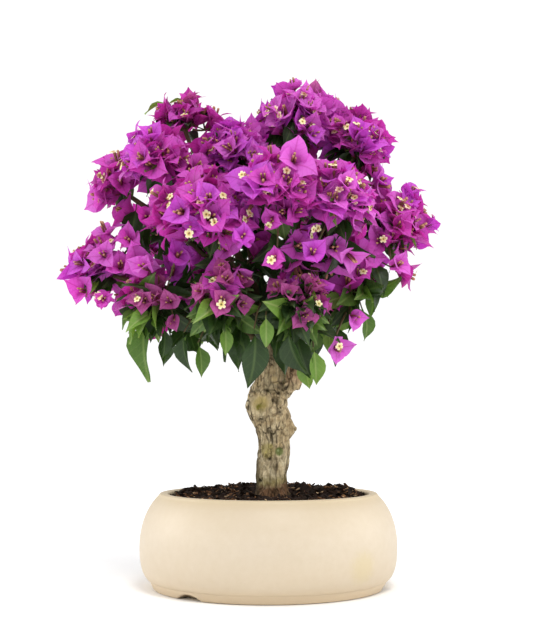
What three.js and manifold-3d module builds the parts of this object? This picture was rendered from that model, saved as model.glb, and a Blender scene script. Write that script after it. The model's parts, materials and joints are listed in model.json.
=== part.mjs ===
// A bougainvillea trained as a small standard tree, growing in a round glazed bowl.
// Millimetres, +Z up. The origin is the middle of the bowl's flat underside, and -Y is the front.
// The bowl, the soil, the trunk, two limbs, a bough for each mass, and the masses of bloom are separate solids.
import * as THREE from "three";
import { mergeVertices } from "three/addons/utils/BufferGeometryUtils.js";
import Module from "manifold-3d";

const wasm = await Module();
wasm.setup();

// ---------------------------------------------------------------- driving dimensions
const CLEARANCE = 0.3; // gap between solids that rest on each other

// Bowl: a flat foot, a belly that swells above it and a rim that leans in.
const BOWL_SIDES = 40;
const BOWL_HEIGHT = 93.5;
const BELLY_HEIGHT = 42;
const BELLY_RADIUS = 128.3;
const SHOULDER_DEPTH = 40.3; // how far the upper curve would close in
const SHOULDER_RISE = 58;
const HEEL_DEPTH = 18.3; // how far the lower curve would close in
const HEEL_DROP = 36;
const HEEL_POWER = 2.6;
const FOOT_RADIUS = 115;
const FOOT_TOP_RADIUS = 118;
const FOOT_HEIGHT = 9;
const RIM_RADIUS = 100; // inside the mouth
const RIM_ROUND = 2;
const WALL = 9;
const FLOOR = 12;
const NOTCH_COUNT = 3;
const NOTCH_WIDTH = 30;
const NOTCH_HEIGHT = 5.5;
const NOTCH_DEPTH = 22;
const FIRST_NOTCH_DEG = 230; // counter-clockwise from +X: front left

// Soil
const SOIL_EDGE = 87;
const SOIL_LEVEL = 90; // ground level, where the trunk is cut flat
const SOIL_PAD_RADIUS = 30; // flat ground round the trunk
const MOUNDS = [
  // x, y, height, spread
  [-56, 22, 9, 26],
  [40, 20, 12, 20],
  [66, 8, 9, 20],
  [0, -70, 3, 30],
  [-5, 64, 7, 34],
];

// Trunk and limbs: stations from the foot up as [z, centre x, centre y, half width, half depth].
const TRUNK = [
  [SOIL_LEVEL + CLEARANCE, 3.8, 0, 18.0, 17.5],
  [97, 3.6, 0, 16.0, 16.0],
  [108, 3.1, 0, 15.5, 15.5],
  [119, 3.9, 0, 15.9, 15.8],
  [130, 5.0, 0, 16.3, 16.2],
  [142, 5.5, 0, 15.7, 15.9],
  [151, 5.4, -0.5, 16.8, 17.0],
  [160, 4.2, -1, 19.3, 18.6],
  [169, 1.6, -1.5, 20.8, 19.4],
  [179, -1.2, -1.5, 20.6, 19.0],
  [188, 0.2, -1, 20.2, 17.5],
  [196, 4.8, 0, 21.6, 16.0],
  [203, 9.4, 0, 23.8, 14.8],
];
const FORK = TRUNK[TRUNK.length - 1][0];
const LEFT_LIMB = [
  [FORK + CLEARANCE, -1.1, 0, 12.9, 13.0],
  [212, -0.2, 0, 12.7, 12.6],
  [222, 0.9, 0.3, 12.2, 11.8],
  [236, 2.0, 1.2, 10.8, 10.6],
  [250, 0.6, 3, 9.6, 9.4],
  [264, -4.0, 5, 8.4, 8.2],
];
const RIGHT_LIMB = [
  [FORK + CLEARANCE, 23.6, 0, 10.4, 11.6],
  [212, 25.2, 0, 11.2, 11.8],
  [220, 25.6, 0.4, 10.0, 10.8],
  [234, 26.0, 1.6, 7.2, 8.2],
  [249, 29.0, 4, 6.6, 7.0],
  [264, 33.5, 6, 6.0, 6.2],
];
// Burls and pruned stubs on the trunk: z, degrees round from +X, how far they stand out, spread.
const BURLS = [
  [181, 222, 4.5, 9],
  [157, 352, 5.5, 6],
  [133, 278, 1.2, 7],
];
const TRUNK_SIDES = 18;
const LIMB_SIDES = 12;

// Boughs, one to each mass
const BOUGH_ROOT_RADIUS = 4.6;
const BOUGH_TIP_RADIUS = 2.4;
const BOUGH_SIDES = 5;
const BOUGH_STEPS = 3;
const BOUGH_RISE = 0.14; // how far a bough arches, as a share of its length
const ENTRY = 0.5; // a bough ends this share of the reach short of its mass's centre

// Masses: name, centre x, y, z and reach
const MASSES = [
  ["crown_top", 27, 2, 456, 48],
  ["right_shoulder", 84, 0, 434, 42],
  ["top_left_spray", -84, 8, 458, 36],
  ["notch", -34, -12, 421, 39],
  ["upper_left", -103, -44, 408, 41],
  ["left_arm", -147, 4, 400, 37],
  ["left_low", -161, 0, 315, 43],
  ["left_skirt", -104, -38, 272, 47],
  ["right_side", 118, -6, 352, 46],
  ["right_low", 82, -16, 286, 44],
  ["centre_left", -60, -88, 352, 49],
  ["centre", 10, -100, 372, 46],
  ["centre_right", 62, -80, 366, 45],
  ["front_low", -40, -72, 272, 46],
  ["front_low_right", 24, -72, 272, 43],
  ["back_top", -22, 72, 426, 51],
  ["back_left", -98, 72, 364, 54],
  ["back_right", 72, 82, 372, 55],
  ["back_low_left", -60, 84, 288, 46],
  ["back_low_right", 36, 84, 288, 46],
];
const HEART = new THREE.Vector3(-15, 0, 318); // the crown faces away from this point
const LIMB_DIVIDE = 8; // masses left of this x hang on the left limb

// Growth of a mass
const TIPS = 60; // directions tried round each mass
const TURNED_IN = -0.3; // a bloom that faces the heart more than this isn't grown
const TUFT_TURNED_IN = -0.75; // nor is a tuft
const UNDERSIDE = -0.42; // tips that point lower than this carry leaves and no bloom
const LEAFY_BELOW = 290; // masses whose centre is lower than this flower only on top
const BURIED = 0.62; // a tip this deep, as a share of a neighbour's reach, isn't grown
const STEM_RADIUS = 2.6;
const STEM_TIP_RADIUS = 2;
const CHILD_RADIUS = 0.7; // a twig's radius as a share of its parent's
const TWIG_TIP_RADIUS = 0.9;
const STEM_BUDS = [0.25, 0.4, 0.55, 0.7, 0.85, 1];
const TWIG_BUDS = [0.4, 0.7];
const RUN_COST = 0.35; // how far a longer way back to the bough counts against a bud
const TWIG_ARCH = 0.1;
const LONG_TWIG = 26; // a twig longer than this is bent in the middle
const BLOOM_SINK = 17; // a bloom's foot lies this far inside its mass's reach
const TUFT_SINK = 24;
const SINK_RANGE = 9;

// Heads of bloom and leaf: blades are bracts or leaves
const BLADES = 3; // to a whorl
const RIM_STEPS = 4 * BLADES;
const BRACT_LENGTH = 33;
const BRACT_WIDTH = 0.84; // as a share of its length
const BRACT_LIFT = 0.6; // radians from flat: the bracts make a cup
const LEAF_LENGTH = 46;
const LEAF_WIDTH = 0.5;
const WIDEST = 0.4; // where a blade is widest, as a share of its length
const FOLD = 0.2; // how far its edges rise above its middle, as a share of half its width
const MOST_TURN = 0.93; // radians from a blade's middle to its shoulder, at most
const CLEFT_RADIUS = 5; // how near the axis the clefts between blades run
const HEAD_THICK = 4;
const NECK_RADIUS = 2.4;
const WHORL_GAP = 5; // between the whorl of leaves and the bracts in front of it
// Sizes tried in turn: of the bracts and the leaves behind them, or of a tuft's two whorls of leaves.
const HEAD_SIZES = [
  { bloom: [1, 0.75], tuft: [1, 0.8] },
  { bloom: [1, 0], tuft: [0.8, 0] },
  { bloom: [0.72, 0], tuft: [0.65, 0] },
];

// ---------------------------------------------------------------- solids
const UP = new THREE.Vector3(0, 0, 1);

function solidOf(geometry) {
  const bare = new THREE.BufferGeometry();
  bare.setAttribute("position", geometry.getAttribute("position").clone());
  if (geometry.index) bare.setIndex(geometry.index);
  const merged = mergeVertices(bare, 1e-4);
  return new wasm.Manifold(
    new wasm.Mesh({
      numProp: 3,
      vertProperties: merged.attributes.position.array,
      triVerts: new Uint32Array(merged.index.array),
    }),
  );
}

function geometryOf(solid) {
  const mesh = solid.getMesh();
  const stride = mesh.numProp;
  const points = new Float32Array(mesh.numVert * 3);
  for (let i = 0; i < mesh.numVert; i++) {
    points.set(mesh.vertProperties.subarray(i * stride, i * stride + 3), i * 3);
  }
  const geometry = new THREE.BufferGeometry();
  geometry.setAttribute("position", new THREE.BufferAttribute(points, 3));
  geometry.setIndex(new THREE.BufferAttribute(new Uint32Array(mesh.triVerts), 1));
  return geometry;
}

// The largest of a solid's separate pieces.
function largestPiece(solid) {
  const pieces = solid.decompose();
  return pieces.reduce((best, piece) => (piece.volume() > best.volume() ? piece : best));
}

// Moves each vertex of a geometry to where place(x, y, z) says.
function reshape(geometry, place) {
  const position = geometry.getAttribute("position");
  for (let i = 0; i < position.count; i++) {
    const at = place(position.getX(i), position.getY(i), position.getZ(i));
    position.setXYZ(i, at.x, at.y, at.z);
  }
  return geometry;
}

// ---------------------------------------------------------------- random numbers
function seeded(seed) {
  let state = seed;
  return () => {
    state = (state * 48271) % 2147483647;
    return state / 2147483647;
  };
}

// ---------------------------------------------------------------- bowl
function bowlRadius(z) {
  if (z >= BELLY_HEIGHT) {
    const rise = (z - BELLY_HEIGHT) / SHOULDER_RISE;
    return BELLY_RADIUS - SHOULDER_DEPTH * (1 - Math.sqrt(1 - rise * rise));
  }
  const drop = (BELLY_HEIGHT - z) / HEEL_DROP;
  return BELLY_RADIUS - HEEL_DEPTH * (1 - Math.pow(1 - Math.pow(drop, HEEL_POWER), 1 / HEEL_POWER));
}

// The inside of the bowl from the middle of its floor to its mouth, drawn in by gap.
function insideProfile(gap) {
  const heights = [FLOOR + 10, BELLY_HEIGHT, 64, 78];
  return [
    [0, FLOOR + gap],
    [bowlRadius(FLOOR) - WALL - 9 - gap, FLOOR + gap],
    ...heights.map((z) => [bowlRadius(z) - WALL - gap, z]),
    [RIM_RADIUS - gap, SOIL_EDGE],
  ];
}

function bowl() {
  const outerHeights = [FOOT_HEIGHT, 12, 18, 28, BELLY_HEIGHT, 56, 68, 78, 86];
  const profile = [
    [0, 0],
    [FOOT_RADIUS, 0],
    [FOOT_TOP_RADIUS, FOOT_HEIGHT - 1.5],
    ...outerHeights.map((z) => [bowlRadius(z), z]),
    [bowlRadius(BOWL_HEIGHT - RIM_ROUND), BOWL_HEIGHT - RIM_ROUND],
    [bowlRadius(BOWL_HEIGHT) - RIM_ROUND, BOWL_HEIGHT],
    [RIM_RADIUS + RIM_ROUND, BOWL_HEIGHT],
    [RIM_RADIUS, BOWL_HEIGHT - RIM_ROUND],
    ...insideProfile(0).reverse(),
  ].map(([r, z]) => new THREE.Vector2(r, z));
  let solid = solidOf(new THREE.LatheGeometry(profile, BOWL_SIDES).rotateX(Math.PI / 2));
  const half = NOTCH_WIDTH / 2;
  const round = (half * half + NOTCH_HEIGHT * NOTCH_HEIGHT) / (2 * NOTCH_HEIGHT);
  for (let i = 0; i < NOTCH_COUNT; i++) {
    const turn = THREE.MathUtils.degToRad(FIRST_NOTCH_DEG + (360 / NOTCH_COUNT) * i);
    const cutter = new THREE.CylinderGeometry(round, round, NOTCH_DEPTH, 28);
    cutter.rotateZ(Math.PI / 2).translate(FOOT_RADIUS, 0, NOTCH_HEIGHT - round).rotateZ(turn);
    solid = solid.subtract(solidOf(cutter));
  }
  return solid;
}

// ---------------------------------------------------------------- soil
function moundHeight(x, y) {
  const raised = MOUNDS.map(([mx, my, height, spread]) => {
    const away = Math.hypot(x - mx, y - my) / spread;
    return height * Math.exp(-away * away);
  });
  return raised.reduce((a, b) => a + b, 0);
}

function soil() {
  const rings = [90, 74, 56, 40];
  const profile = [
    ...insideProfile(CLEARANCE),
    ...rings.map((r) => [r, SOIL_EDGE + 1]),
    [SOIL_PAD_RADIUS, SOIL_LEVEL],
    [0, SOIL_LEVEL],
  ].map(([r, z]) => new THREE.Vector2(r, z));
  const body = new THREE.LatheGeometry(profile, BOWL_SIDES).rotateX(Math.PI / 2);
  const open = (RIM_RADIUS - CLEARANCE) * 0.99;
  reshape(body, (x, y, z) => {
    const r = Math.hypot(x, y);
    const free = z > SOIL_EDGE + 0.5 && r < open && r > SOIL_PAD_RADIUS + 1;
    return new THREE.Vector3(x, y, free ? z + moundHeight(x, y) : z);
  });
  return solidOf(body);
}

// ---------------------------------------------------------------- trunk and limbs
// A station between two of a limb's, at height z, on a smooth curve through them.
function stationAt(stations, z) {
  let k = 0;
  while (k < stations.length - 2 && z > stations[k + 1][0]) k++;
  const a = stations[Math.max(k - 1, 0)];
  const b = stations[k];
  const c = stations[k + 1];
  const d = stations[Math.min(k + 2, stations.length - 1)];
  const t = (z - b[0]) / (c[0] - b[0]);
  return [1, 2, 3, 4].map((i) => {
    const rise = (c[i] - a[i]) / 2;
    const fall = (d[i] - b[i]) / 2;
    const bend = 2 * (b[i] - c[i]) + rise + fall;
    return b[i] + t * (rise + t * (3 * (c[i] - b[i]) - 2 * rise - fall + t * bend));
  });
}

// An upright limb with level rings through its stations, with burls where it has them.
function column(stations, sides, spacing, burls, swell) {
  const low = stations[0][0];
  const high = stations[stations.length - 1][0];
  const steps = Math.round((high - low) / spacing);
  const body = new THREE.CylinderGeometry(1, 1, 1, sides, steps);
  reshape(body, (x, y, z) => {
    const height = low + (y + 0.5) * (high - low);
    const [cx, cy, halfWidth, halfDepth] = stationAt(stations, height);
    const angle = Math.atan2(-z, x);
    const burl = burls.reduce((sum, [bz, degrees, out, spread]) => {
      const turn = Math.abs(angle - THREE.MathUtils.degToRad(degrees)) % (2 * Math.PI);
      const round = Math.min(turn, 2 * Math.PI - turn) * halfWidth;
      const away = Math.hypot(round, height - bz) / spread;
      return sum + out * Math.exp(-away * away);
    }, 0);
    return new THREE.Vector3(
      cx + x * (halfWidth + burl + swell),
      cy - z * (halfDepth + burl + swell),
      height + (Math.abs(y) === 0.5 ? Math.sign(y) * swell : 0),
    );
  });
  return solidOf(body);
}

// ---------------------------------------------------------------- boughs and twigs
// A tapering limb along a curve: a unit cylinder bent onto it.
function limb(curve, rootRadius, tipRadius, sides, steps) {
  const body = new THREE.CylinderGeometry(1, 1, 1, sides, steps);
  const { normals, binormals } = curve.computeFrenetFrames(steps);
  reshape(body, (x, y, z) => {
    const t = Math.min(Math.max(y + 0.5, 0), 1);
    const k = Math.round(t * steps);
    const radius = rootRadius + (tipRadius - rootRadius) * t;
    return curve
      .getPointAt(t)
      .addScaledVector(binormals[k], x * radius)
      .addScaledVector(normals[k], z * radius);
  });
  return solidOf(body);
}

// A tapering twig with three sides along a curve.
function twig(curve, rootRadius, tipRadius, steps) {
  const corners = [0, 1, 2].map((i) => [(i * 2 * Math.PI) / 3]).map(([a]) => new THREE.Vector2(Math.cos(a), Math.sin(a)));
  const body = new THREE.ExtrudeGeometry(new THREE.Shape(corners), { depth: 1, steps, bevelEnabled: false });
  const { normals, binormals } = curve.computeFrenetFrames(steps);
  reshape(body, (x, y, z) => {
    const k = Math.round(z * steps);
    const radius = rootRadius + (tipRadius - rootRadius) * z;
    return curve
      .getPointAt(Math.min(Math.max(z, 0), 1))
      .addScaledVector(normals[k], x * radius)
      .addScaledVector(binormals[k], y * radius);
  });
  return solidOf(body);
}

function boughCurve(mass) {
  const stations = mass.centre.x < LIMB_DIVIDE ? LEFT_LIMB : RIGHT_LIMB;
  const high = Math.min(Math.max((mass.centre.z - 280) / 120, 0), 1);
  const top = stations[stations.length - 1][0];
  const z = top - 4 - 18 * (1 - high);
  const [cx, cy, halfWidth] = stationAt(stations, z);
  const root = new THREE.Vector3(cx, cy, z);
  const level = mass.centre.clone().sub(root).setZ(0);
  root.addScaledVector(level.normalize(), halfWidth * 0.55);
  const back = root.clone().sub(mass.centre).normalize();
  const tip = mass.centre.clone().addScaledVector(back, mass.reach * ENTRY);
  const middle = root.clone().lerp(tip, 0.45).addScaledVector(UP, root.distanceTo(tip) * BOUGH_RISE);
  return new THREE.QuadraticBezierCurve3(root, middle, tip);
}

// ---------------------------------------------------------------- blooms and leaves
// Where a whorl's rim runs, as [turn, out, up] from its middle: a tip, a shoulder, a cleft and a shoulder
// to each blade. A whorl is { blades: [[length, lift] of each], width, turned by this many steps }.
function rimPoint(whorl, size, step) {
  const place = (step + whorl.turned) % RIM_STEPS;
  const [length, lift] = whorl.blades[Math.floor((place + 1) / 4) % BLADES];
  const middle = ((Math.floor((place + 1) / 4) * 4 - whorl.turned) * 2 * Math.PI) / RIM_STEPS;
  if (place % 4 === 0) return [middle, length * size * Math.cos(lift), length * size * Math.sin(lift)];
  if (place % 4 === 2) return [middle + Math.PI / BLADES, CLEFT_RADIUS, CLEFT_RADIUS * Math.sin(lift)];
  const along = WIDEST * length * size;
  const across = (whorl.width * length * size) / 2;
  const turn = Math.min(Math.atan2(across, along * Math.cos(lift)), MOST_TURN);
  const up = along * Math.sin(lift) + across * FOLD;
  return [middle + (place % 4 === 1 ? turn : -turn), across / Math.sin(turn), up];
}

// A head on the end of a twig: whorls of pointed blades about its axis, from the back forward.
function head(tip, whorls, fat) {
  const rows = 2 * whorls.length;
  const side = new THREE.Vector3().crossVectors(tip.axis, new THREE.Vector3(0.11, 0.07, 1)).normalize();
  const at = (turn, out, up) =>
    tip.foot
      .clone()
      .addScaledVector(side.clone().applyAxisAngle(tip.axis, tip.spin + turn), out)
      .addScaledVector(tip.axis, up);
  const body = new THREE.SphereGeometry(1, RIM_STEPS, rows);
  reshape(body, (x, y, z) => {
    const row = rows - Math.round((Math.acos(Math.min(Math.max(y, -1), 1)) / Math.PI) * rows);
    const step = (Math.round((Math.atan2(-z, x) / (2 * Math.PI)) * RIM_STEPS) + RIM_STEPS) % RIM_STEPS;
    if (row === 0) return at(0, 0, -HEAD_THICK / 2 - fat);
    if (row === rows) return at(0, 0, (whorls.length - 1) * WHORL_GAP + HEAD_THICK / 2 + fat);
    if (row % 2 === 0) {
      return at((step * 2 * Math.PI) / RIM_STEPS, NECK_RADIUS + fat, (row / 2 - 0.5) * WHORL_GAP);
    }
    const [turn, out, up] = rimPoint(whorls[(row - 1) / 2], tip.size, step);
    return at(turn, out + fat, up + ((row - 1) / 2) * WHORL_GAP);
  });
  return solidOf(body);
}

// Three bracts in a cup, and on some blooms leaves behind them that show between the bracts.
function bloomHead(tip, bractScale, leafScale, fat) {
  const bract = [BRACT_LENGTH * bractScale, BRACT_LIFT];
  const bracts = { blades: Array(BLADES).fill(bract), width: BRACT_WIDTH, turned: 0 };
  const blades = tip.leaves.map(([length, lift]) => [length * leafScale, lift - 0.35]);
  const leaves = { blades, width: LEAF_WIDTH, turned: 2 };
  return head(tip, leafScale > 0 && tip.leafy ? [leaves, bracts] : [bracts], fat);
}

// Two whorls of hanging leaves.
function leafHead(tip, scale, innerScale, fat) {
  const grown = (by, raised) => tip.leaves.map(([length, lift]) => [length * by, lift + raised]);
  const outer = { blades: grown(scale, 0), width: LEAF_WIDTH, turned: 0 };
  const inner = { blades: grown(innerScale, 0.5), width: LEAF_WIDTH, turned: 2 };
  return head(tip, innerScale > 0 ? [outer, inner] : [outer], fat);
}

// ---------------------------------------------------------------- growth of a mass
// Evenly spread directions over a sphere.
function spread(k, count) {
  const golden = Math.PI * (3 - Math.sqrt(5));
  const z = 1 - (2 * (k + 0.5)) / count;
  const r = Math.sqrt(1 - z * z);
  return new THREE.Vector3(r * Math.cos(golden * k), r * Math.sin(golden * k), z);
}

function wobble(random, amount) {
  return new THREE.Vector3(random() - 0.5, random() - 0.5, random() - 0.5).multiplyScalar(2 * amount);
}

// The tips that a mass may grow: blooms on its outer side, and tufts of leaves under it.
function tipsOf(mass, masses) {
  const random = seeded(mass.seed);
  const facing = mass.centre.clone().sub(HEART).normalize();
  const yaw = random() * 2 * Math.PI;
  const tips = [];
  for (let k = 0; k < TIPS; k++) {
    const out = spread(k, TIPS).applyAxisAngle(UP, yaw).add(wobble(random, 0.16)).normalize();
    const [depth, tilt, spin, size] = [random(), wobble(random, 0.28), random(), random()];
    const leaves = Array.from({ length: BLADES }, () => [LEAF_LENGTH * (0.6 + 0.4 * random()), 0.5 * random()]);
    const flowers = mass.centre.z > LEAFY_BELOW ? out.z > UNDERSIDE : out.z > 0.05 && k % 3 !== 0;
    const sink = (flowers ? BLOOM_SINK : TUFT_SINK) + depth * SINK_RANGE;
    const foot = mass.centre.clone().addScaledVector(out, mass.reach - sink);
    const buried = masses.some(
      (other) => other !== mass && foot.distanceTo(other.centre) < other.reach * BURIED,
    );
    if (out.dot(facing) < (flowers ? TURNED_IN : TUFT_TURNED_IN) || buried) continue;
    const axis = out.clone().addScaledVector(facing, 0.45).add(tilt);
    axis.addScaledVector(UP, flowers ? 0.1 : -0.6).normalize();
    const leafy = k % 2 === 0;
    tips.push({ foot, axis, flowers, leafy, leaves, spin: spin * 2 * Math.PI, size: 0.84 + 0.3 * size });
  }
  return tips;
}

// The nodes of a mass's stem, from its bough's tip to the middle of the mass.
function stemOf(mass, bough) {
  const tangent = bough.getTangentAt(1);
  const start = bough.getPointAt(1).addScaledVector(tangent, CLEARANCE);
  const middle = start.clone().addScaledVector(tangent, mass.reach * 0.25);
  const end = mass.centre.clone().addScaledVector(mass.centre.clone().sub(HEART).normalize(), mass.reach * 0.1);
  return new THREE.QuadraticBezierCurve3(start, middle, end);
}

// The points of a curve that twigs may grow from, each of them once.
function budsOf(curve, shares, run, radius) {
  return shares.map((t) => ({ at: curve.getPointAt(t), run: run + t * curve.getLength(), radius, used: false }));
}

// The twig to a tip from the nearest free bud.
function twigTo(tip, buds) {
  const cost = (bud) => bud.at.distanceTo(tip.foot) + RUN_COST * bud.run + (bud.used ? Infinity : 0);
  const bud = buds.reduce((best, other) => (cost(other) < cost(best) ? other : best));
  const length = bud.at.distanceTo(tip.foot);
  const middle = bud.at.clone().lerp(tip.foot, 0.5).addScaledVector(UP, length * TWIG_ARCH);
  const curve = new THREE.QuadraticBezierCurve3(bud.at, middle, tip.foot);
  const radius = Math.max(bud.radius * CHILD_RADIUS, TWIG_TIP_RADIUS);
  return { bud, curve, radius, steps: length > LONG_TWIG ? 2 : 1 };
}

// ---------------------------------------------------------------- assembly
const placed = []; // everything that later growth keeps clear of

function remember(mass, part, solid) {
  placed.push({ mass, part, solid, box: solid.boundingBox() });
}

function apart(a, b) {
  return [0, 1, 2].some((i) => a.min[i] > b.max[i] || a.max[i] < b.min[i]);
}

// Whether a fattened solid is clear of everything placed that it isn't allowed to join.
function isClear(fat, joins) {
  const box = fat.boundingBox();
  return placed.every(
    (other) => apart(box, other.box) || joins(other) || fat.intersect(other.solid).volume() === 0,
  );
}

function startMass(mass, bough) {
  const stem = stemOf(mass, bough);
  const solid = limb(stem, STEM_RADIUS, STEM_TIP_RADIUS, 5, 2);
  remember(mass.name, "wood", solid);
  return { mass, parts: [solid], buds: budsOf(stem, STEM_BUDS, 0, STEM_RADIUS) };
}

// Grows one tip of a mass, its twig and its head, where both are clear of all else.
function growTip(growth, tip, size) {
  const { bud, curve, radius, steps } = twigTo(tip, growth.buds);
  const make = tip.flowers ? bloomHead : leafHead;
  if (!isClear(make(tip, ...size, CLEARANCE), () => false)) return false;
  const ownWood = (other) => other.mass === growth.mass.name && other.part === "wood";
  if (!isClear(twig(curve, radius + CLEARANCE, TWIG_TIP_RADIUS + CLEARANCE, steps), ownWood)) return false;
  const wood = twig(curve, radius, TWIG_TIP_RADIUS, steps);
  const blades = make(tip, ...size, 0);
  remember(growth.mass.name, "wood", wood);
  remember(growth.mass.name, "head", blades);
  growth.parts.push(wood, blades);
  growth.buds.push(...budsOf(curve, TWIG_BUDS, bud.run, radius));
  bud.used = true;
  return true;
}

const glaze = new THREE.MeshStandardMaterial({ color: 0xeadbc0, roughness: 0.5, metalness: 0 });
const compost = new THREE.MeshStandardMaterial({ color: 0x2a1a12, roughness: 0.95, metalness: 0 });
const bark = new THREE.MeshStandardMaterial({ color: 0x9b8061, roughness: 0.9, metalness: 0 });
const bract = new THREE.MeshStandardMaterial({ color: 0xb030ae, roughness: 0.6, metalness: 0 });
const foliage = new THREE.MeshStandardMaterial({ color: 0x3c6b2c, roughness: 0.5, metalness: 0 });

const plant = new THREE.Group();

function addNode(name, solid, material) {
  const mesh = new THREE.Mesh(geometryOf(solid), material);
  mesh.name = name;
  plant.add(mesh);
}

const masses = MASSES.map(([name, x, y, z, reach], i) => ({
  name,
  centre: new THREE.Vector3(x, y, z),
  reach,
  seed: 1009 + 7919 * i,
}));

addNode("bowl", bowl(), glaze);
addNode("soil", soil(), compost);

const columns = { trunk: TRUNK, left_limb: LEFT_LIMB, right_limb: RIGHT_LIMB };
const keepOut = [];
for (const [name, stations] of Object.entries(columns)) {
  const isTrunk = name === "trunk";
  const shape = [stations, isTrunk ? TRUNK_SIDES : LIMB_SIDES, isTrunk ? 6.5 : 9, isTrunk ? BURLS : []];
  addNode(name, column(...shape, 0), bark);
  const wider = column(...shape, CLEARANCE + 0.05);
  keepOut.push(wider);
  remember(name, name, wider);
}

// Each bough is cut clear of the limb that it grows from and of the boughs beside it.
const boughs = masses.map((mass) => boughCurve(mass));
masses.forEach((mass, i) => {
  let solid = limb(boughs[i], BOUGH_ROOT_RADIUS, BOUGH_TIP_RADIUS, BOUGH_SIDES, BOUGH_STEPS);
  keepOut.forEach((other) => {
    solid = solid.subtract(other);
  });
  solid = largestPiece(solid);
  addNode(mass.name + "_bough", solid, bark);
  const [root, tip] = [BOUGH_ROOT_RADIUS + CLEARANCE + 0.05, BOUGH_TIP_RADIUS + CLEARANCE + 0.05];
  keepOut.push(limb(boughs[i], root, tip, BOUGH_SIDES, BOUGH_STEPS));
  remember(mass.name + "_bough", mass.name + "_bough", solid);
});

// The largest heads grow first, and smaller ones fill in between them.
const growths = masses.map((mass, i) => startMass(mass, boughs[i]));
const waiting = masses.map((mass) => tipsOf(mass, masses));
for (const sizes of HEAD_SIZES) {
  growths.forEach((growth, i) => {
    waiting[i] = waiting[i].filter((tip) => !growTip(growth, tip, tip.flowers ? sizes.bloom : sizes.tuft));
  });
}
for (const { mass, parts } of growths) {
  const mostlyLeaf = mass.centre.z < LEAFY_BELOW;
  addNode(mass.name, largestPiece(wasm.Manifold.union(parts)), mostlyLeaf ? foliage : bract);
}

export default plant;
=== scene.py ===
"""A bougainvillea bonsai: a stout barked trunk and a crown of magenta bracts and leaves, in a round cream bowl.

Lengths in the tables are millimetres, +Z is up and -Y is the front. The origin is the middle of the bowl's underside.
"""

import json
import math

import bmesh
import bpy
from mathutils import Matrix, Vector, noise

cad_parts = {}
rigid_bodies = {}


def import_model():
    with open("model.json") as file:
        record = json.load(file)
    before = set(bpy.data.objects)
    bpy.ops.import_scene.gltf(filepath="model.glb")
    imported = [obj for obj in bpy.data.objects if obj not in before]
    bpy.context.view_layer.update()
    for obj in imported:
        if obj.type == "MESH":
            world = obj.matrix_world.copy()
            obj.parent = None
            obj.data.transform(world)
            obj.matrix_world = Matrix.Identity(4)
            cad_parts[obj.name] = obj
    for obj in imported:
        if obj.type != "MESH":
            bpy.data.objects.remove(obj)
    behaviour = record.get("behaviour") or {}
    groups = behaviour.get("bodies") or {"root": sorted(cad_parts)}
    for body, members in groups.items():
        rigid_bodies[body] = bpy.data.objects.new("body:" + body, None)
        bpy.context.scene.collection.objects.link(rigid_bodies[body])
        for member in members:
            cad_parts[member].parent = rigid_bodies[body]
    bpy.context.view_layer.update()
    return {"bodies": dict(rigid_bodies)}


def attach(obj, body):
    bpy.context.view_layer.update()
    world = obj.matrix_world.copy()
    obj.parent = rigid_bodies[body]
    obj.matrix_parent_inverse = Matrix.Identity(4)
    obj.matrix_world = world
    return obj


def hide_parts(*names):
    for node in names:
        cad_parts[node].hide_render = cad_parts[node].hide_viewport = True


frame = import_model()

MM = 0.001
TURN = 2 * math.pi
SPIN = 6.28  # a whole turn, drawn at random
UP, FRONT = Vector((0, 0, 1)), Vector((0, -1, 0))
BODY = list(frame["bodies"])[0]

# ---------------------------------------------------------------- driving dimensions
# Bowl
BOWL_SIDES = 192
BOWL_HEIGHT = 93.5
BELLY_HEIGHT, BELLY_RADIUS = 42, 128.3
SHOULDER_DEPTH, SHOULDER_RISE = 40.3, 58
HEEL_DEPTH, HEEL_DROP, HEEL_POWER = 18.3, 36, 2.6
FOOT_RADIUS = 115
RIM_RADIUS, RIM_ROUND = 100, 2
WALL, FLOOR = 9, 12
NOTCH_COUNT, NOTCH_WIDTH, NOTCH_HEIGHT, NOTCH_DEPTH = 3, 30, 5.5, 22
FIRST_NOTCH_DEG = 230
STAIN, STAIN_RADIUS = (88, -92, 30), 14

# Soil: mounds are x, y, height and spread
SOIL_EDGE, SOIL_LEVEL = 87, 90
SOIL_PAD_RADIUS, SOIL_SIDES = 30, 180
MOUNDS = [
    (-56, 22, 6, 18), (30, 20, 12, 14), (58, 12, 10, 18), (78, 26, 7, 16), (-78, 34, 6, 16), (0, -70, 3, 30),
    (-5, 64, 6, 34), (-62, 62, 4, 22), (-34, 80, 4, 22), (2, 88, 4, 22), (38, 78, 5, 22), (66, 56, 5, 22),
]
CHIP_KINDS = 12

# Trunk and limbs: z, centre x, centre y, half width and half depth of each station
TRUNK = [
    (90.3, 3.8, 0, 18.0, 17.5), (97, 3.6, 0, 16.0, 16.0), (108, 3.1, 0, 15.5, 15.5), (119, 3.9, 0, 15.9, 15.8),
    (130, 5.0, 0, 16.3, 16.2), (142, 5.5, 0, 15.7, 15.9), (151, 5.4, -0.5, 16.8, 17.0), (160, 4.2, -1, 19.3, 18.6),
    (169, 1.6, -1.5, 20.8, 19.4), (179, -1.2, -1.5, 20.6, 19.0), (188, 0.2, -1, 20.2, 17.5), (196, 4.8, 0, 21.6, 16.0),
    (203, 9.4, 0, 23.8, 14.8),
]
LEFT_LIMB = [
    (203.3, -1.1, 0, 12.9, 13.0), (212, -0.2, 0, 12.7, 12.6), (222, 0.9, 0.3, 12.2, 11.8), (236, 2.0, 1.2, 10.8, 10.6),
    (250, 0.6, 3, 9.6, 9.4), (264, -4.0, 5, 8.4, 8.2),
]
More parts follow.
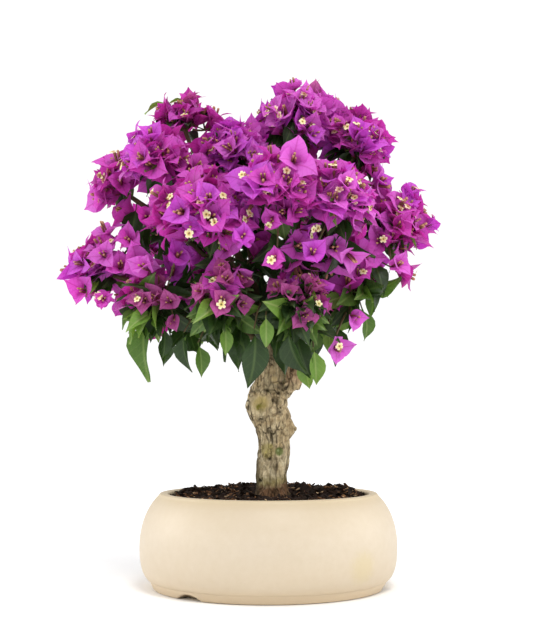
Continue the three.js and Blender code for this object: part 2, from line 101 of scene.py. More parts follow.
RIGHT_LIMB = [
    (203.3, 23.6, 0, 10.4, 11.6), (212, 25.2, 0, 11.2, 11.8), (220, 25.6, 0.4, 10.0, 10.8), (234, 26.0, 1.6, 7.2, 8.2),
    (249, 29.0, 4, 6.6, 7.0), (264, 33.5, 6, 6.0, 6.2),
]
# The web between the limbs
CROTCH = [(196, 12, 0, 8, 9), (206, 12.3, 0, 6, 8), (213, 12.8, 0, 4.5, 6.5), (218, 13.4, 0, 2.5, 4)]
# Burls on the trunk: z, degrees from +X, how far out and spread
BURLS = [(181, 222, 4.5, 9), (157, 352, 5.5, 6), (133, 278, 1.2, 7)]
TRUNK_FOOT, FORK, LIMB_ROOT, LIMB_TOP = 86.5, 203, 196, 268
TRUNK_STEP = 0.85  # the finest step of the grown-together trunk

# Boughs
BOUGH_ROOT_RADIUS, BOUGH_TIP_RADIUS = 4.6, 2.4
BOUGH_RISE = 0.14
ENTRY = 0.5  # how far into a mass its bough reaches

# Masses: name, centre x, y, z and reach
MASSES = [
    ("crown_top", 27, 2, 456, 48), ("right_shoulder", 84, 0, 434, 42), ("top_left_spray", -84, 8, 458, 36),
    ("notch", -34, -12, 421, 39), ("upper_left", -103, -44, 408, 41), ("left_arm", -147, 4, 400, 37),
    ("left_low", -161, 0, 315, 43), ("left_skirt", -104, -38, 272, 47), ("right_side", 118, -6, 352, 46),
    ("right_low", 82, -16, 286, 44), ("centre_left", -60, -88, 352, 49), ("centre", 10, -100, 372, 46),
    ("centre_right", 62, -80, 366, 45), ("front_low", -40, -72, 272, 46), ("front_low_right", 24, -72, 272, 43),
    ("back_top", -22, 72, 426, 51), ("back_left", -98, 72, 364, 54), ("back_right", 72, 82, 372, 55),
    ("back_low_left", -60, 84, 288, 46), ("back_low_right", 36, 84, 288, 46),
]
HEART = Vector((-15, 0, 318))
LIMB_DIVIDE = 8  # masses left of this grow from the left limb
LOW_MASS, HIGH_MASS = 280, 400  # from lower on the limb to its tip
LOW_CROWN = 318  # below this the crown is leafier and its blooms are younger

# Growth of a mass
TIPS = 60
TURNED_IN, TUFT_TURNED_IN = -0.3, -0.75
UNDERSIDE = -0.42
LEAFY_BELOW = 290  # masses that are mostly leaf
LEAFY_MASS, LEAFY_MORE = "right_low", 0.7
BURIED = 0.62
FLOWERING, FLOWERING_TOO = 0.32, 0.12  # how many blooms have an open flower, and how many of those a second
STEM_RADIUS, STEM_TIP_RADIUS = 2.6, 2.0
CHILD_RADIUS, TWIG_TIP_RADIUS = 0.7, 0.9
STEM_BUDS = (0.25, 0.4, 0.55, 0.7, 0.85, 1)
TWIG_BUDS = (0.4, 0.7)
RUN_COST = 0.35
TWIG_ARCH = 0.1
BLOOM_SINK, TUFT_SINK, SINK_RANGE = 17, 24, 9
DEEPER_BLOOM, DEEPER_TUFT = 5, 7  # so that tubes and leaf tips stay within the mass's reach
COMPANIONS = 2  # smaller blooms beside each, at most
SPARSE_BELOW, SPARSE_SHARE = -0.1, 0.62  # under a low mass, tufts that point lower than this are thinned
INNER_LEAVES, INNER_BLOOMS = 11, 7  # along each bough

# Bracts, flowers and leaves
BRACT_LENGTH, BRACT_WIDTH, BRACT_KINDS = 31, 0.76, 12
TUBE_LENGTH, TUBE_RADIUS, TUBE_SIDES = 20, 1.35, 5
STAR_RADIUS, STAR_SIDES = 4.3, 20
BRACT_OFF, TUBE_OFF, STAR_ALONG = 0.9, 1.8, 0.98  # how far from a bloom's axis, and where on its tube
LEAF_LENGTH, LEAF_WIDTH, LEAF_KINDS = 46, 0.44, 10
# Tubes: how far they lean, and how wide their throat is. Stars: how deep their dish is, and how far their notches go
TUBES = ((0.06, 1.05), (-0.05, 0.95), (0.1, 1.15), (0.0, 0.9))
STARS = ((0.25, 0.8), (0.12, 0.77), (0.35, 0.83))
TUBE_KINDS, STAR_KINDS = len(TUBES), len(STARS)
# Outlines: share of the length, and the width there as a share of the widest
BRACT_OUTLINE = [
    (0, 0.08), (0.04, 0.3), (0.125, 0.58), (0.25, 0.88), (0.375, 1.0), (0.5, 0.97), (0.625, 0.8), (0.75, 0.5),
    (0.875, 0.18), (1, 0.0),
]
LEAF_OUTLINE = [
    (0, 0.035), (0.14, 0.045), (0.2, 0.36), (0.3, 0.82), (0.42, 1.0), (0.56, 0.93), (0.7, 0.68), (0.84, 0.33),
    (0.93, 0.12), (1, 0.0),
]

# Long leaves that hang clear: foot x, y, z, sideways lean, length, turn of the blade and tint
HANGING = [
    (-118, -45, 264, -0.05, 62, -0.5, "mid"), (-100, -52, 256, 0.05, 32, 0.9, "dark"),
    (-80, -62, 250, 0.02, 40, -0.9, "dark"), (-66, -70, 240, 0.25, 34, 0.5, "mid"),
    (-40, -80, 256, 0.02, 30, 0.3, "light"), (-13, -86, 252, 0.1, 58, 0.4, "dark"),
    (19, -88, 252, 0.04, 50, -1.2, "dark"), (-2, -92, 264, 0.0, 32, 0.2, "light"),
    (43, -62, 236, 0.06, 38, 0.5, "light"), (38, -56, 230, -0.16, 38, -0.6, "light"),
    (92, -20, 276, 0.5, 34, 0.6, "mid"), (106, -10, 300, 0.05, 34, -0.5, "mid"),
    (60, -34, 256, -0.1, 30, -0.4, "light"), (48, -50, 254, -0.1, 28, 1.0, "mid"),
]
# Blooms that stand by themselves: foot x, y, z, the way they face, turn, size, how open, tint, and their mass
LONE_BLOOMS = [
    (44, 0, 484, (0.15, -0.1, 1), 0.3, 0.76, 0.35, "young", "crown_top"),
    (-78, 4, 476, (0.12, 0, 1), 1.2, 0.74, 0.35, "young", "top_left_spray"),
    (-99, 0, 459, (-0.35, -0.35, 1), 2.2, 0.94, 0.75, "magenta", "top_left_spray"),
    (-58, 0, 458, (0.35, -0.3, 1), 0.8, 0.92, 0.75, "magenta", "top_left_spray"),
    (-158, 0, 388, (-1, -0.5, -0.1), 0.4, 1.0, 0.8, "pale", "left_arm"),
    (-135, -20, 339, (-0.2, -1, 0.3), 2.6, 0.95, 0.8, "magenta", "left_low"),
    (-129, -26, 318, (0.2, -1, 0.1), 0.9, 0.92, 0.78, "pale", "left_low"),
    (-178, -12, 293, (-0.5, -1, 0.1), 3.7, 0.86, 0.72, "magenta", "left_low"),
    (-162, -18, 286, (0.1, -1, -0.1), 1.6, 0.85, 0.7, "magenta", "left_low"),
    (22, -118, 398, (0.1, -1, 0.3), 4.71, 0.98, 0.86, "pale", "centre"),
    (-4, -122, 374, (-0.1, -1, 0.5), 0.2, 0.9, 0.8, "violet", "centre"),
    (-23, -122, 330, (0.15, -1, 0.1), 4.95, 0.9, 0.82, "violet", "centre_left"),
    (-113, -60, 310, (-0.4, -1, 0.1), 1.9, 0.9, 0.74, "pale", "left_skirt"),
    (-88, -66, 318, (0.3, -1, 0.4), 3.3, 0.88, 0.72, "violet", "left_skirt"),
    (120, -46, 314, (0.4, -1, 0.15), 4.4, 0.9, 0.75, "pale", "right_side"),
    (-50, -126, 362, (-0.2, -0.9, 0.3), 5.3, 0.88, 0.74, "violet", "centre_left"),
    (40, -110, 318, (0.1, -1, 0.1), 3.9, 0.78, 0.75, "violet", "centre_right"),
    (8, -110, 312, (-0.1, -1, 0.1), 4.9, 0.74, 0.7, "magenta", "centre"),
    (104, -14, 398, (0.6, -0.6, 0.4), 0.9, 0.8, 0.7, "violet", "right_side"),
    (62, -46, 237, (0.5, -0.9, -0.3), 3.5, 0.84, 0.8, "pale", "right_low"),
    (79, -46, 266, (0.6, -0.8, -0.1), 3.3, 0.68, 0.75, "pale", "right_low"),
]
# Leaves at the ends of sprays: foot x, y, z, direction, length and tint
LONE_LEAVES = [
    (-101, 0, 483, (-1, -0.1, -0.42), 26, "light"), (-102, 2, 476, (-0.7, -0.2, -0.8), 19, "dark"),
    (-84, 2, 484, (-0.6, -0.2, 0.1), 18, "light"), (-72, 2, 474, (1, -0.3, -0.35), 24, "dark"),
]
# Masses where some of the tips bear nothing, and the share that does not
THINNED = {
    "top_left_spray": 0.4, "right_low": 0.25, "left_low": 0.35, "left_arm": 0.3, "right_side": 0.2, "crown_top": 0.12,
}
# Columns of open air right through the crown: x, z and radius
OPEN_AIR = [
    (-86, 444, 15), (-124, 388, 14), (-150, 364, 17), (-200, 370, 42), (-182, 434, 40), (122, 246, 46),
    (170, 380, 15), (158, 298, 22), (82, 345, 7), (-38, 306, 6), (4, 486, 13), (118, 448, 12),
]
LOWEST = 240  # tufts end above this, so that only the long leaves hang lower


# ---------------------------------------------------------------- small tools
def seeded(seed):
    """A stream of numbers from 0 to 1, the same each time."""
    state = seed

    def draw():
        nonlocal state
        state = state * 48271 % 2147483647
        return state / 2147483647

    return draw


def wobble(draw, amount):
    return Vector((draw() - 0.5, draw() - 0.5, draw() - 0.5)) * (2 * amount)


def clamp(value, low, high):
    return max(low, min(high, value))


def smooth(value):
    value = clamp(value, 0, 1)
    return value * value * (3 - 2 * value)


def bezier(a, b, c, t):
    return a * (1 - t) ** 2 + b * (2 * t * (1 - t)) + c * t * t


def arc(curve, steps):
    """Points evenly along a curve, both its ends among them."""
    return [bezier(*curve, i / steps) for i in range(steps + 1)]


def taper(first, last, steps):
    return [first + (last - first) * i / steps for i in range(steps + 1)]


def placed(name, data):
    """A new object in the scene."""
    thing = bpy.data.objects.new(name, data)
    bpy.context.scene.collection.objects.link(thing)
    return thing


def evaluated(thing):
    """What a thing's modifiers make of it, as a plain mesh."""
    return bpy.data.meshes.new_from_object(thing.evaluated_get(bpy.context.evaluated_depsgraph_get()))


def turned(vector, axis, angle):
    return Matrix.Rotation(angle, 3, axis) @ vector


def new_mesh(name, points, faces, edges=()):
    """A mesh object from points in millimetres."""
    mesh = bpy.data.meshes.new(name)
    mesh.from_pydata([Vector(p) * MM for p in points], list(edges), faces)
    mesh.update()
    return placed(name, mesh)


def smooth_faces(thing):
    thing.data.polygons.foreach_set("use_smooth", [True] * len(thing.data.polygons))
    return thing


def bands(rings, sides, first=0):
    """Faces between rings of points that follow each other, each ring closed on itself."""
    faces = []
    for i in range(rings - 1):
        low, high = first + i * sides, first + (i + 1) * sides
        for k in range(sides):
            n = (k + 1) % sides
            faces.append((low + k, low + n, high + n, high + k))
    return faces


def lathe(rings, sides):
    """Points and faces of a closed turned shape. Each ring is a function of the angle; the first and last are poles."""
    points = [ring(TURN * k / sides) for ring in rings[1:-1] for k in range(sides)]
    low, high = len(points), len(points) + 1
    points += [rings[0](0), rings[-1](0)]
    faces = bands(len(rings) - 2, sides)
    last = (len(rings) - 3) * sides
    for k in range(sides):
        n = (k + 1) % sides
        faces += [(low, n, k), (high, last + k, last + n)]
    return points, faces


# ---------------------------------------------------------------- node trees
SHADER, GEOMETRY = "ShaderNodeTree", "GeometryNodeTree"
OWN_MAP = "OFBake"


class Tree:
    """A node tree and the ways of adding to it. Most ways give the output socket of what they add."""

    def __init__(self, tree):
        self.tree = tree

    def link(self, value, socket):
        """Joins a socket to another's output, or gives it a value."""
        if isinstance(value, bpy.types.NodeSocket):
            self.tree.links.new(value, socket)
        else:
            socket.default_value = value

    def add(self, kind, inputs=None, **settings):
        """The outputs of a new node, with its settings made and its sockets filled or joined."""
        made = self.tree.nodes.new(kind)
        for key, value in settings.items():
            setattr(made, key, value)
        for key, value in (inputs or {}).items():
            self.link(value, made.inputs[key])
        return made.outputs

    def maths(self, operation, *values):
        return self.add("ShaderNodeMath", dict(enumerate(values)), operation=operation)[0]

    def times(self, a, b):
        return self.maths("MULTIPLY", a, b)

    def plus(self, a, b):
        return self.maths("ADD", a, b)

    def less(self, a, b):
        return self.maths("SUBTRACT", a, b)

    def over(self, a, b):
        return self.maths("DIVIDE", a, b)

    def off_middle(self, value):
        """How far a number from 0 to 1 is from a half."""
        return self.maths("ABSOLUTE", self.less(value, 0.5))

    def vector(self, operation, first, second=None):
        """Vector maths. DISTANCE and LENGTH give a number."""
        keys = {0: first}
        if second is not None:
            keys["Scale" if operation == "SCALE" else 1] = second
        return self.add("ShaderNodeVectorMath", keys, operation=operation)[int(operation in ("DISTANCE", "LENGTH"))]

    def split(self, vector):
        return self.add("ShaderNodeSeparateXYZ", {0: vector})

    def ramp(self, value, low, high, to_low=0.0, to_high=1.0, how="LINEAR"):
        keys = {"Value": value, "From Min": low, "From Max": high, "To Min": to_low, "To Max": to_high}
        return self.add("ShaderNodeMapRange", keys, interpolation_type=how)[0]

    def fade(self, value, width, near=1.0, far=0.0, start=0.0):
        """Goes smoothly from near to far while the value grows from its start to the width."""
        return self.ramp(value, start, width, near, far, "SMOOTHSTEP")

    def noise(self, where, scale, detail, output=0):
        return self.add("ShaderNodeTexNoise", {"Vector": where, "Scale": scale, "Detail": detail})[output]

    def swayed(self, where, drawn, scale, far):
        """Drawn places, shifted by a slow noise by up to far."""
        return self.vector("ADD", drawn, self.vector("SCALE", self.noise(where, scale, 2, output=1), far))

    def cells(self, where, scale):
        """How far a place is from the edge of its cell."""
        return self.add("ShaderNodeTexVoronoi", {"Vector": where, "Scale": scale}, feature="DISTANCE_TO_EDGE")[0]

    def blend(self, how_far, first, second):
        """A mix of two colours."""
        return self.add("ShaderNodeMix", {0: how_far, 6: colour(first), 7: colour(second)}, data_type="RGBA")[2]

    def layer(self, base, where, share, tint):
        """A colour with a tint laid over it, where and as far as two numbers say."""
        return self.blend(self.times(where, share), base, tint)

    def effect(self, made, inputs):
        """The outputs of a shared effect."""
        return self.add("ShaderNodeGroup", inputs, node_tree=made)

    def mottle(self, where, scale, contrast):
        return self.effect(MOTTLE, {"Vector": where, "Scale": scale, "Contrast": contrast})["Amount"]

    def spot(self, where, centre, radius, raggedness, softness=0.3):
        keys = {"Vector": where, "Centre": [c * MM for c in centre], "Radius": radius * MM}
        return self.effect(SPOT, {**keys, "Softness": softness, "Raggedness": raggedness})["Amount"]

    def named(self, name, kind="FLOAT"):
        return self.add("GeometryNodeInputNamedAttribute", {"Name": name}, data_type=kind)[0]

    def instances(self, points, shapes, which, turn, size):
        """A shape of a collection on each point, turned and sized."""
        parts = {"Collection": shapes, "Separate Children": True, "Reset Children": True}
        keys = {
            "Points": points, "Instance": self.add("GeometryNodeCollectionInfo", parts)[0], "Pick Instance": True,
            "Instance Index": which, "Rotation": self.add("FunctionNodeEulerToRotation", {0: turn})[0], "Scale": size,
        }
        return self.add("GeometryNodeInstanceOnPoints", keys)[0]

    def hand_over(self, mesh):
        """Makes a mesh real, dresses it and gives it out. The tree is then whole."""
        real = self.add("GeometryNodeRealizeInstances", {"Geometry": mesh})[0]
        dressed = self.add("GeometryNodeSetMaterial", {"Geometry": real, "Material": self.given["Finish"]})[0]
        self.link(dressed, self.out["Mesh"])
        return self.tree


def group(name, kind, inputs, outputs):
    """An empty node group with named sockets, each (name, type, value) or (name, type)."""
    made = Tree(bpy.data.node_groups.new(name, kind))
    for in_out, rows in (("INPUT", inputs), ("OUTPUT", outputs)):
        for label, of_type, *value in rows:
            socket = made.tree.interface.new_socket(label, in_out=in_out, socket_type="NodeSocket" + of_type)
            if value:
                socket.default_value = value[0]
    made.given = made.add("NodeGroupInput")
    made.out = made.tree.nodes.new("NodeGroupOutput").inputs
    return made


def grower(name, inputs):
    """An empty geometry group that takes a finish too, and gives a mesh."""
    return group(name, GEOMETRY, inputs + [("Finish", "Material")], [("Mesh", "Geometry")])


def colour(tint):
    """A colour from 0 to 255 as the eye reads it, made linear. A socket stays as it is."""
    if isinstance(tint, bpy.types.NodeSocket):
        return tint
    shares = (c / 255 for c in tint)
    return (*(c / 12.92 if c <= 0.04045 else ((c + 0.055) / 1.055) ** 2.4 for c in shares), 1.0)


# ---------------------------------------------------------------- effects shared by the materials
def mottle_group():
    """Cloudy patches in two sizes, from 0 to 1."""
    inputs = [("Vector", "Vector"), ("Scale", "Float", 40.0), ("Contrast", "Float", 1.6)]
    tree = group("mottle", SHADER, inputs, [("Amount", "Float")])
    where, scale = tree.given["Vector"], tree.given["Scale"]
    broad, fine = tree.noise(where, scale, 4), tree.noise(where, tree.times(scale, 5.3), 3)
    both = tree.plus(tree.times(broad, 0.7), tree.times(fine, 0.3))
    away = tree.times(tree.less(both, 0.5), tree.given["Contrast"])
    tree.link(tree.add("ShaderNodeClamp", {0: tree.plus(away, 0.5)})[0], tree.out["Amount"])
    return tree.tree


def veins_group():
    """A midrib, side veins that sweep forward and a net between them, on a blade's own map."""
    numbers = {"Pairs": 6.0, "Sweep": 0.7, "Width": 0.12, "Net": 22.0}
    inputs = [("Map", "Vector")] + [(name, "Float", value) for name, value in numbers.items()]
    tree = group("veins", SHADER, inputs, [("Midrib", "Float"), ("Veins", "Float"), ("Height", "Float")])
    across, along, _ = tree.split(tree.given["Map"])
    out_from_rib = tree.off_middle(across)
    rib = tree.fade(out_from_rib, 0.035)
    swept = tree.less(along, tree.times(out_from_rib, tree.given["Sweep"]))
    near = tree.off_middle(tree.maths("FRACT", tree.times(swept, tree.given["Pairs"])))
    side = tree.fade(near, tree.given["Width"])
    net = tree.fade(tree.cells(tree.given["Map"], tree.given["Net"]), 0.1, near=0.45)
    veins = tree.maths("MAXIMUM", side, net)
    tree.link(rib, tree.out["Midrib"])
    tree.link(veins, tree.out["Veins"])
    tree.link(tree.maths("MAXIMUM", rib, tree.times(veins, 0.6)), tree.out["Height"])
    return tree.tree


def spot_group():
    """A soft round spot about a centre, ragged at its edge."""
    numbers = {"Radius": 0.005, "Softness": 0.3, "Raggedness": 0.3}
    inputs = [("Vector", "Vector"), ("Centre", "Vector")] + [(name, "Float", value) for name, value in numbers.items()]
    tree = group("spot", SHADER, inputs, [("Amount", "Float")])
    where, soft = tree.given["Vector"], tree.given["Softness"]
    reach = tree.vector("DISTANCE", where, tree.given["Centre"])
    rough = tree.times(tree.less(tree.noise(where, 420.0, 2), 0.5), tree.given["Raggedness"])
    share = tree.plus(tree.over(reach, tree.given["Radius"]), rough)
    inner = tree.less(1.0, soft)
    tree.link(tree.fade(share, tree.plus(inner, tree.times(soft, 2.0)), start=inner), tree.out["Amount"])
    return tree.tree


MOTTLE, VEINS, SPOT = mottle_group(), veins_group(), spot_group()


# ---------------------------------------------------------------- materials
class Finish(Tree):
    """A new material with its Principled shader."""

    def __init__(self, name):
        self.made = bpy.data.materials.new(name)
        self.made.use_nodes = True
        super().__init__(self.made.node_tree)
        self.shader = self.tree.nodes["Principled BSDF"]

    def place(self):
        return self.add("ShaderNodeTexCoord")["Object"]

    def own_map(self):
        return self.add("ShaderNodeUVMap", uv_map=OWN_MAP)[0]

    def wear(self, base, roughness, specular=0.5, **more):
        """Gives the shader its colour and its uniform numbers, and hands the material over."""
        numbers = {"Roughness": roughness, "Specular IOR Level": specular, **more}
        for key, value in {"Base Color": base, **numbers}.items():
            self.link(value, self.shader.inputs[key.replace("_", " ")])
        return self.made

    def bump(self, height, strength, distance):
        keys = {"Height": height, "Strength": strength, "Distance": distance}
        self.link(self.add("ShaderNodeBump", keys)[0], self.shader.inputs["Normal"])

    def let_light_through(self, tint, share):
        """Mixes in light that comes through a thin blade."""
        through = self.add("ShaderNodeBsdfTranslucent", {"Color": colour(tint)})[0]
        both = self.add("ShaderNodeMixShader", {0: share, 1: self.shader.outputs[0], 2: through})[0]
        self.link(both, self.tree.nodes["Material Output"].inputs["Surface"])


def bract_finish(name, body, vein, rib, through):
    """Papery bract: a satin sheet with deeper veins and a darker midrib towards its foot."""
    tree = Finish(name)
    own_map = tree.own_map()
    marks = tree.effect(VEINS, {"Map": own_map, "Pairs": 6.0, "Sweep": 0.75, "Width": 0.16, "Net": 16.0})
    patches = tree.mottle(own_map, 3.0, 1.5)
    base = tree.blend(tree.times(patches, 0.35), body, vein)
    base = tree.layer(base, marks["Veins"], 0.55, vein)
    base = tree.layer(base, marks["Midrib"], 0.55, rib)
    base = tree.blend(tree.ramp(tree.split(own_map)[1], 0.0, 0.42, 0.85, 0.0), base, rib)
    tree.bump(marks["Height"], 0.45, 0.0006)
    tree.let_light_through(through, 0.36)
    return tree.wear(base, 0.5, 0.35, Sheen_Weight=0.15, Sheen_Roughness=0.4)


def leaf_finish(name, body, shade, rib, through):
    """Glossy leaf with a pale midrib."""
    tree = Finish(name)
    own_map = tree.own_map()
    marks = tree.effect(VEINS, {"Map": own_map, "Pairs": 7.0, "Sweep": 0.9, "Width": 0.13, "Net": 24.0})
    base = tree.blend(tree.times(tree.mottle(own_map, 4.0, 1.8), 0.6), body, shade)
    base = tree.layer(base, marks["Veins"], 0.22, rib)
    base = tree.layer(base, marks["Midrib"], 0.7, rib)
    tree.bump(tree.less(1.0, marks["Height"]), 0.4, 0.0006)
    tree.let_light_through(through, 0.18)
    return tree.wear(base, 0.42, 0.4)


def tube_finish():
    """Flower tube: red at its foot, brown above and paler at its end, with dark streaks along it."""
    tree = Finish("flower_tube")
    around, along, _ = tree.split(tree.own_map())
    base = tree.blend(tree.ramp(along, 0.0, 0.6), (140, 44, 82), (126, 78, 58))
    base = tree.blend(tree.ramp(along, 0.8, 1.0), base, (196, 142, 106))
    streaks = tree.off_middle(tree.maths("FRACT", tree.times(around, 5.0)))
    return tree.wear(tree.layer(base, streaks, 0.7, (78, 42, 32)), 0.6)


def star_finish():
    """Open flower: cream, yellow towards its middle, and dark in its throat."""
    tree = Finish("flower_star")
    out = tree.vector("DISTANCE", tree.own_map(), (0.5, 0.5, 0.0))
    base = tree.blend(tree.ramp(out, 0.1, 0.34), (222, 200, 84), (252, 247, 196))
    base = tree.blend(tree.ramp(out, 0.06, 0.12, 1.0, 0.0), base, (60, 54, 14))
    tree.let_light_through((250, 240, 200), 0.2)
    return tree.wear(base, 0.55)


def twig_finish():
    tree = Finish("twig_skin")
    patches = tree.mottle(tree.place(), 120.0, 2.5)
    tree.bump(patches, 0.4, 0.0005)
    return tree.wear(tree.blend(patches, (66, 70, 34), (104, 80, 52)), 0.7)


def bark_finish():
    """Furrowed tan-grey bark, dark in its furrows, reddish near the ground, with pruning scars, moss and painted shade
    low on its edges, and painted shade in its pits and slits and round its knobs.
    """
    tree = Finish("furrowed_bark")
    place = tree.place()
    drawn = tree.add("ShaderNodeMapping", {"Vector": place, "Scale": (1.0, 1.0, 0.22)})[0]
    drawn = tree.swayed(place, drawn, 60.0, 0.006)
    furrow = tree.times(tree.fade(tree.cells(drawn, 200.0), 0.17), tree.mottle(drawn, 90.0, 3.5))
    patches, grain = tree.mottle(place, 45.0, 3.0), tree.mottle(drawn, 260.0, 3.0)
    base = tree.blend(patches, (214, 186, 138), (255, 240, 200))
    base = tree.layer(base, grain, 0.42, (112, 90, 54))
    base = tree.layer(base, tree.mottle(place, 430.0, 4.0), 0.36, (88, 68, 36))
    base = tree.layer(base, tree.mottle(drawn, 95.0, 4.5), 0.3, (88, 68, 38))
    x, _, z = tree.split(place)
    ragged = tree.plus(z, tree.times(tree.less(patches, 0.5), 0.012))
    # reddish at the ground, with a green band over it
    green = tree.times(tree.ramp(ragged, 0.098, 0.104), tree.ramp(ragged, 0.107, 0.116, 1.0, 0.0))
    base = tree.layer(base, green, 0.6, (126, 116, 50))
    base = tree.layer(base, tree.ramp(ragged, 0.098, 0.107, 1.0, 0.0), 0.85, (98, 58, 34))
    # moss and painted shade, low on the left edge and at the right of the foot
    right_foot = tree.times(tree.ramp(x, 0.015, 0.02), tree.ramp(z, 0.118, 0.106))
    edge = tree.plus(tree.ramp(x, -0.0055, -0.012), right_foot)
    moss_and_shade = tree.times(tree.times(edge, tree.ramp(z, 0.166, 0.14)), tree.ramp(patches, 0.1, 0.6, 0.55, 1.0))
    base = tree.layer(base, moss_and_shade, 0.85, (50, 44, 20))
    # a pinker right limb
    pink = tree.times(tree.ramp(x, 0.014, 0.019), tree.ramp(z, 0.198, 0.208))
    base = tree.layer(base, pink, 0.45, (178, 134, 104))
    base = tree.layer(base, furrow, 0.95, (44, 34, 16))
    for centre, radius, tint, share in SCARS:
        base = tree.layer(base, tree.spot(place, centre, radius, 0.45), share, tint)
    # painted shade from carve's marks: dark in the pits and slits and round the knobs
    shade = tree.add("ShaderNodeAttribute", attribute_name="shade")["Fac"]
    base = tree.layer(base, shade, 0.95, (34, 25, 11))
    tree.bump(tree.less(tree.times(grain, 0.5), furrow), 1.0, 0.0014)
    return tree.wear(base, 0.85, 0.25)


def compost_finish(name, dark, light):
    tree = Finish(name)
    place = tree.place()
    grain = tree.mottle(place, 480.0, 3.0)
    base = tree.layer(tree.blend(tree.mottle(place, 110.0, 3.2), dark, light), grain, 0.4, dark)
    tree.bump(grain, 0.6, 0.0008)
    return tree.wear(base, 0.9, 0.2)


def glaze_finish():
    """Cream satin glaze with faint clouds, warmer towards the bottom, a tan foot band, painted shade on the foot,
    shoulder and rim, and a pale stain.
    """
    tree = Finish("cream_glaze")
    place = tree.place()
    clouds = tree.mottle(place, 22.0, 2.2)
    base = tree.blend(tree.times(clouds, 0.5), (213, 199, 178), (205, 190, 164))
    base = tree.layer(base, tree.mottle(place, 150.0, 2.4), 0.22, (192, 172, 140))
    height = tree.split(place)[2]
    # by height: warmer towards the bottom; painted shade on the shoulder; the tan foot band, darkened further by
    # painted shade; painted shade on the rim
    for start, end, share, tint in (
        (0.05, 0.008, 0.3, (214, 192, 156)), (0.06, 0.09, 0.5, (192, 174, 142)),
        (0.016, 0.004, 0.4, (208, 182, 144)), (0.084, 0.0935, 0.5, (196, 177, 138)),
    ):
        base = tree.layer(base, tree.ramp(height, start, end), share, tint)
    base = tree.layer(base, tree.spot(place, STAIN, STAIN_RADIUS, 1.0, 0.5), 0.35, (206, 188, 130))
    tree.bump(clouds, 0.25, 0.0012)
    return tree.wear(base, 0.5)


# ---------------------------------------------------------------- growing with geometry nodes
def grown(name, points, tree, inputs):
    """Runs a tree on a mesh object and keeps what it makes as a plain mesh."""
    modifier = points.modifiers.new("growth", "NODES")
    modifier.node_group = tree
    named = {s.name: s.identifier for s in tree.interface.items_tree if s.in_out == "INPUT"}
    for key, value in inputs.items():
        modifier[named[key]] = value
    bpy.context.view_layer.update()
    mesh = evaluated(points)
    mesh.name = name
    bpy.data.objects.remove(points)
    return placed(name, mesh)


def sow_tree():
    """A shape on each point, turned, sized and chosen by the point's own values."""
    tree = grower("sow", [("Points", "Geometry"), ("Shapes", "Collection")])
    which, turn, size = tree.named("shape", "INT"), tree.named("turn", "FLOAT_VECTOR"), tree.named("size")
    return tree.hand_over(tree.instances(tree.given["Points"], tree.given["Shapes"], which, turn, size))


def twig_tree():
    """A round twig along each run of edges, as thick as its points say."""
    tree = grower("twigs", [("Runs", "Geometry"), ("Sides", "Int", 6)])
    curve = tree.add("GeometryNodeMeshToCurve", {"Mesh": tree.given["Runs"]})[0]
    ring = tree.add("GeometryNodeCurvePrimitiveCircle", {"Resolution": tree.given["Sides"], "Radius": 1.0})[0]
    keys = {"Curve": curve, "Profile Curve": ring, "Scale": tree.named("thick"), "Fill Caps": True}
    return tree.hand_over(tree.add("GeometryNodeCurveToMesh", keys)[0])


def furrow_tree():
    """Pushes a surface in and out along its normals: long furrows, lumps and grain."""
    numbers = {
        "Furrow spacing": 0.006, "Furrow length": 4.5, "Furrow depth": 0.0011, "Lump size": 0.012,
        "Lump height": 0.0012, "Grain height": 0.0003,
    }
    tree = grower("furrows", [("Surface", "Geometry")] + [(name, "Float", value) for name, value in numbers.items()])
    given = tree.given
    place, normal = tree.add("GeometryNodeInputPosition")[0], tree.add("GeometryNodeInputNormal")[0]
    squeeze = tree.add("ShaderNodeCombineXYZ", {0: 1.0, 1: 1.0, 2: tree.over(1.0, given["Furrow length"])})[0]
    drawn = tree.swayed(place, tree.vector("MULTIPLY", place, squeeze), 45.0, 0.008)
    furrow = tree.fade(tree.cells(drawn, tree.over(1.0, given["Furrow spacing"])), 0.22, near=-1.0, far=0.3)
    lump = tree.noise(place, tree.over(1.0, given["Lump size"]), 3)
    grain = tree.noise(drawn, 420.0, 3)
    push = tree.times(furrow, given["Furrow depth"])
    for waves, height in ((lump, "Lump height"), (grain, "Grain height")):
        push = tree.plus(push, tree.times(tree.times(tree.less(waves, 0.5), 2.0), given[height]))
    push = tree.times(push, tree.less(1.0, tree.named("calm")))
    keys = {"Geometry": given["Surface"], "Offset": tree.vector("SCALE", normal, push)}
    return tree.hand_over(tree.add("GeometryNodeSetPosition", keys)[0])


def scatter_tree():
    """Bits strewn over a surface, each turned and sized at random."""
    numbers = [(name, "Float") for name in ("Density", "Smallest", "Largest", "Tilt")]
    tree = grower("scatter", [("Surface", "Geometry"), ("Bits", "Collection"), ("Seed", "Int")] + numbers)
    given = tree.given
    keys = {"Mesh": given["Surface"], "Density": given["Density"], "Seed": given["Seed"]}
    strewn = tree.add("GeometryNodeDistributePointsOnFaces", keys)[0]
    lean = tree.times(given["Tilt"], -1.0)
    low = tree.add("ShaderNodeCombineXYZ", {0: lean, 1: lean, 2: 0.0})[0]
    high = tree.add("ShaderNodeCombineXYZ", {0: given["Tilt"], 1: given["Tilt"], 2: 6.283})[0]
    random = "FunctionNodeRandomValue"
    turn = tree.add(random, {0: low, 1: high, "Seed": 11}, data_type="FLOAT_VECTOR")[0]
    size = tree.add(random, {2: given["Smallest"], 3: given["Largest"], "Seed": 12}, data_type="FLOAT")[1]
    which = tree.add(random, {4: 0, 5: CHIP_KINDS - 1, "Seed": 13}, data_type="INT")[2]
    return tree.hand_over(tree.instances(strewn, given["Bits"], which, turn, size))


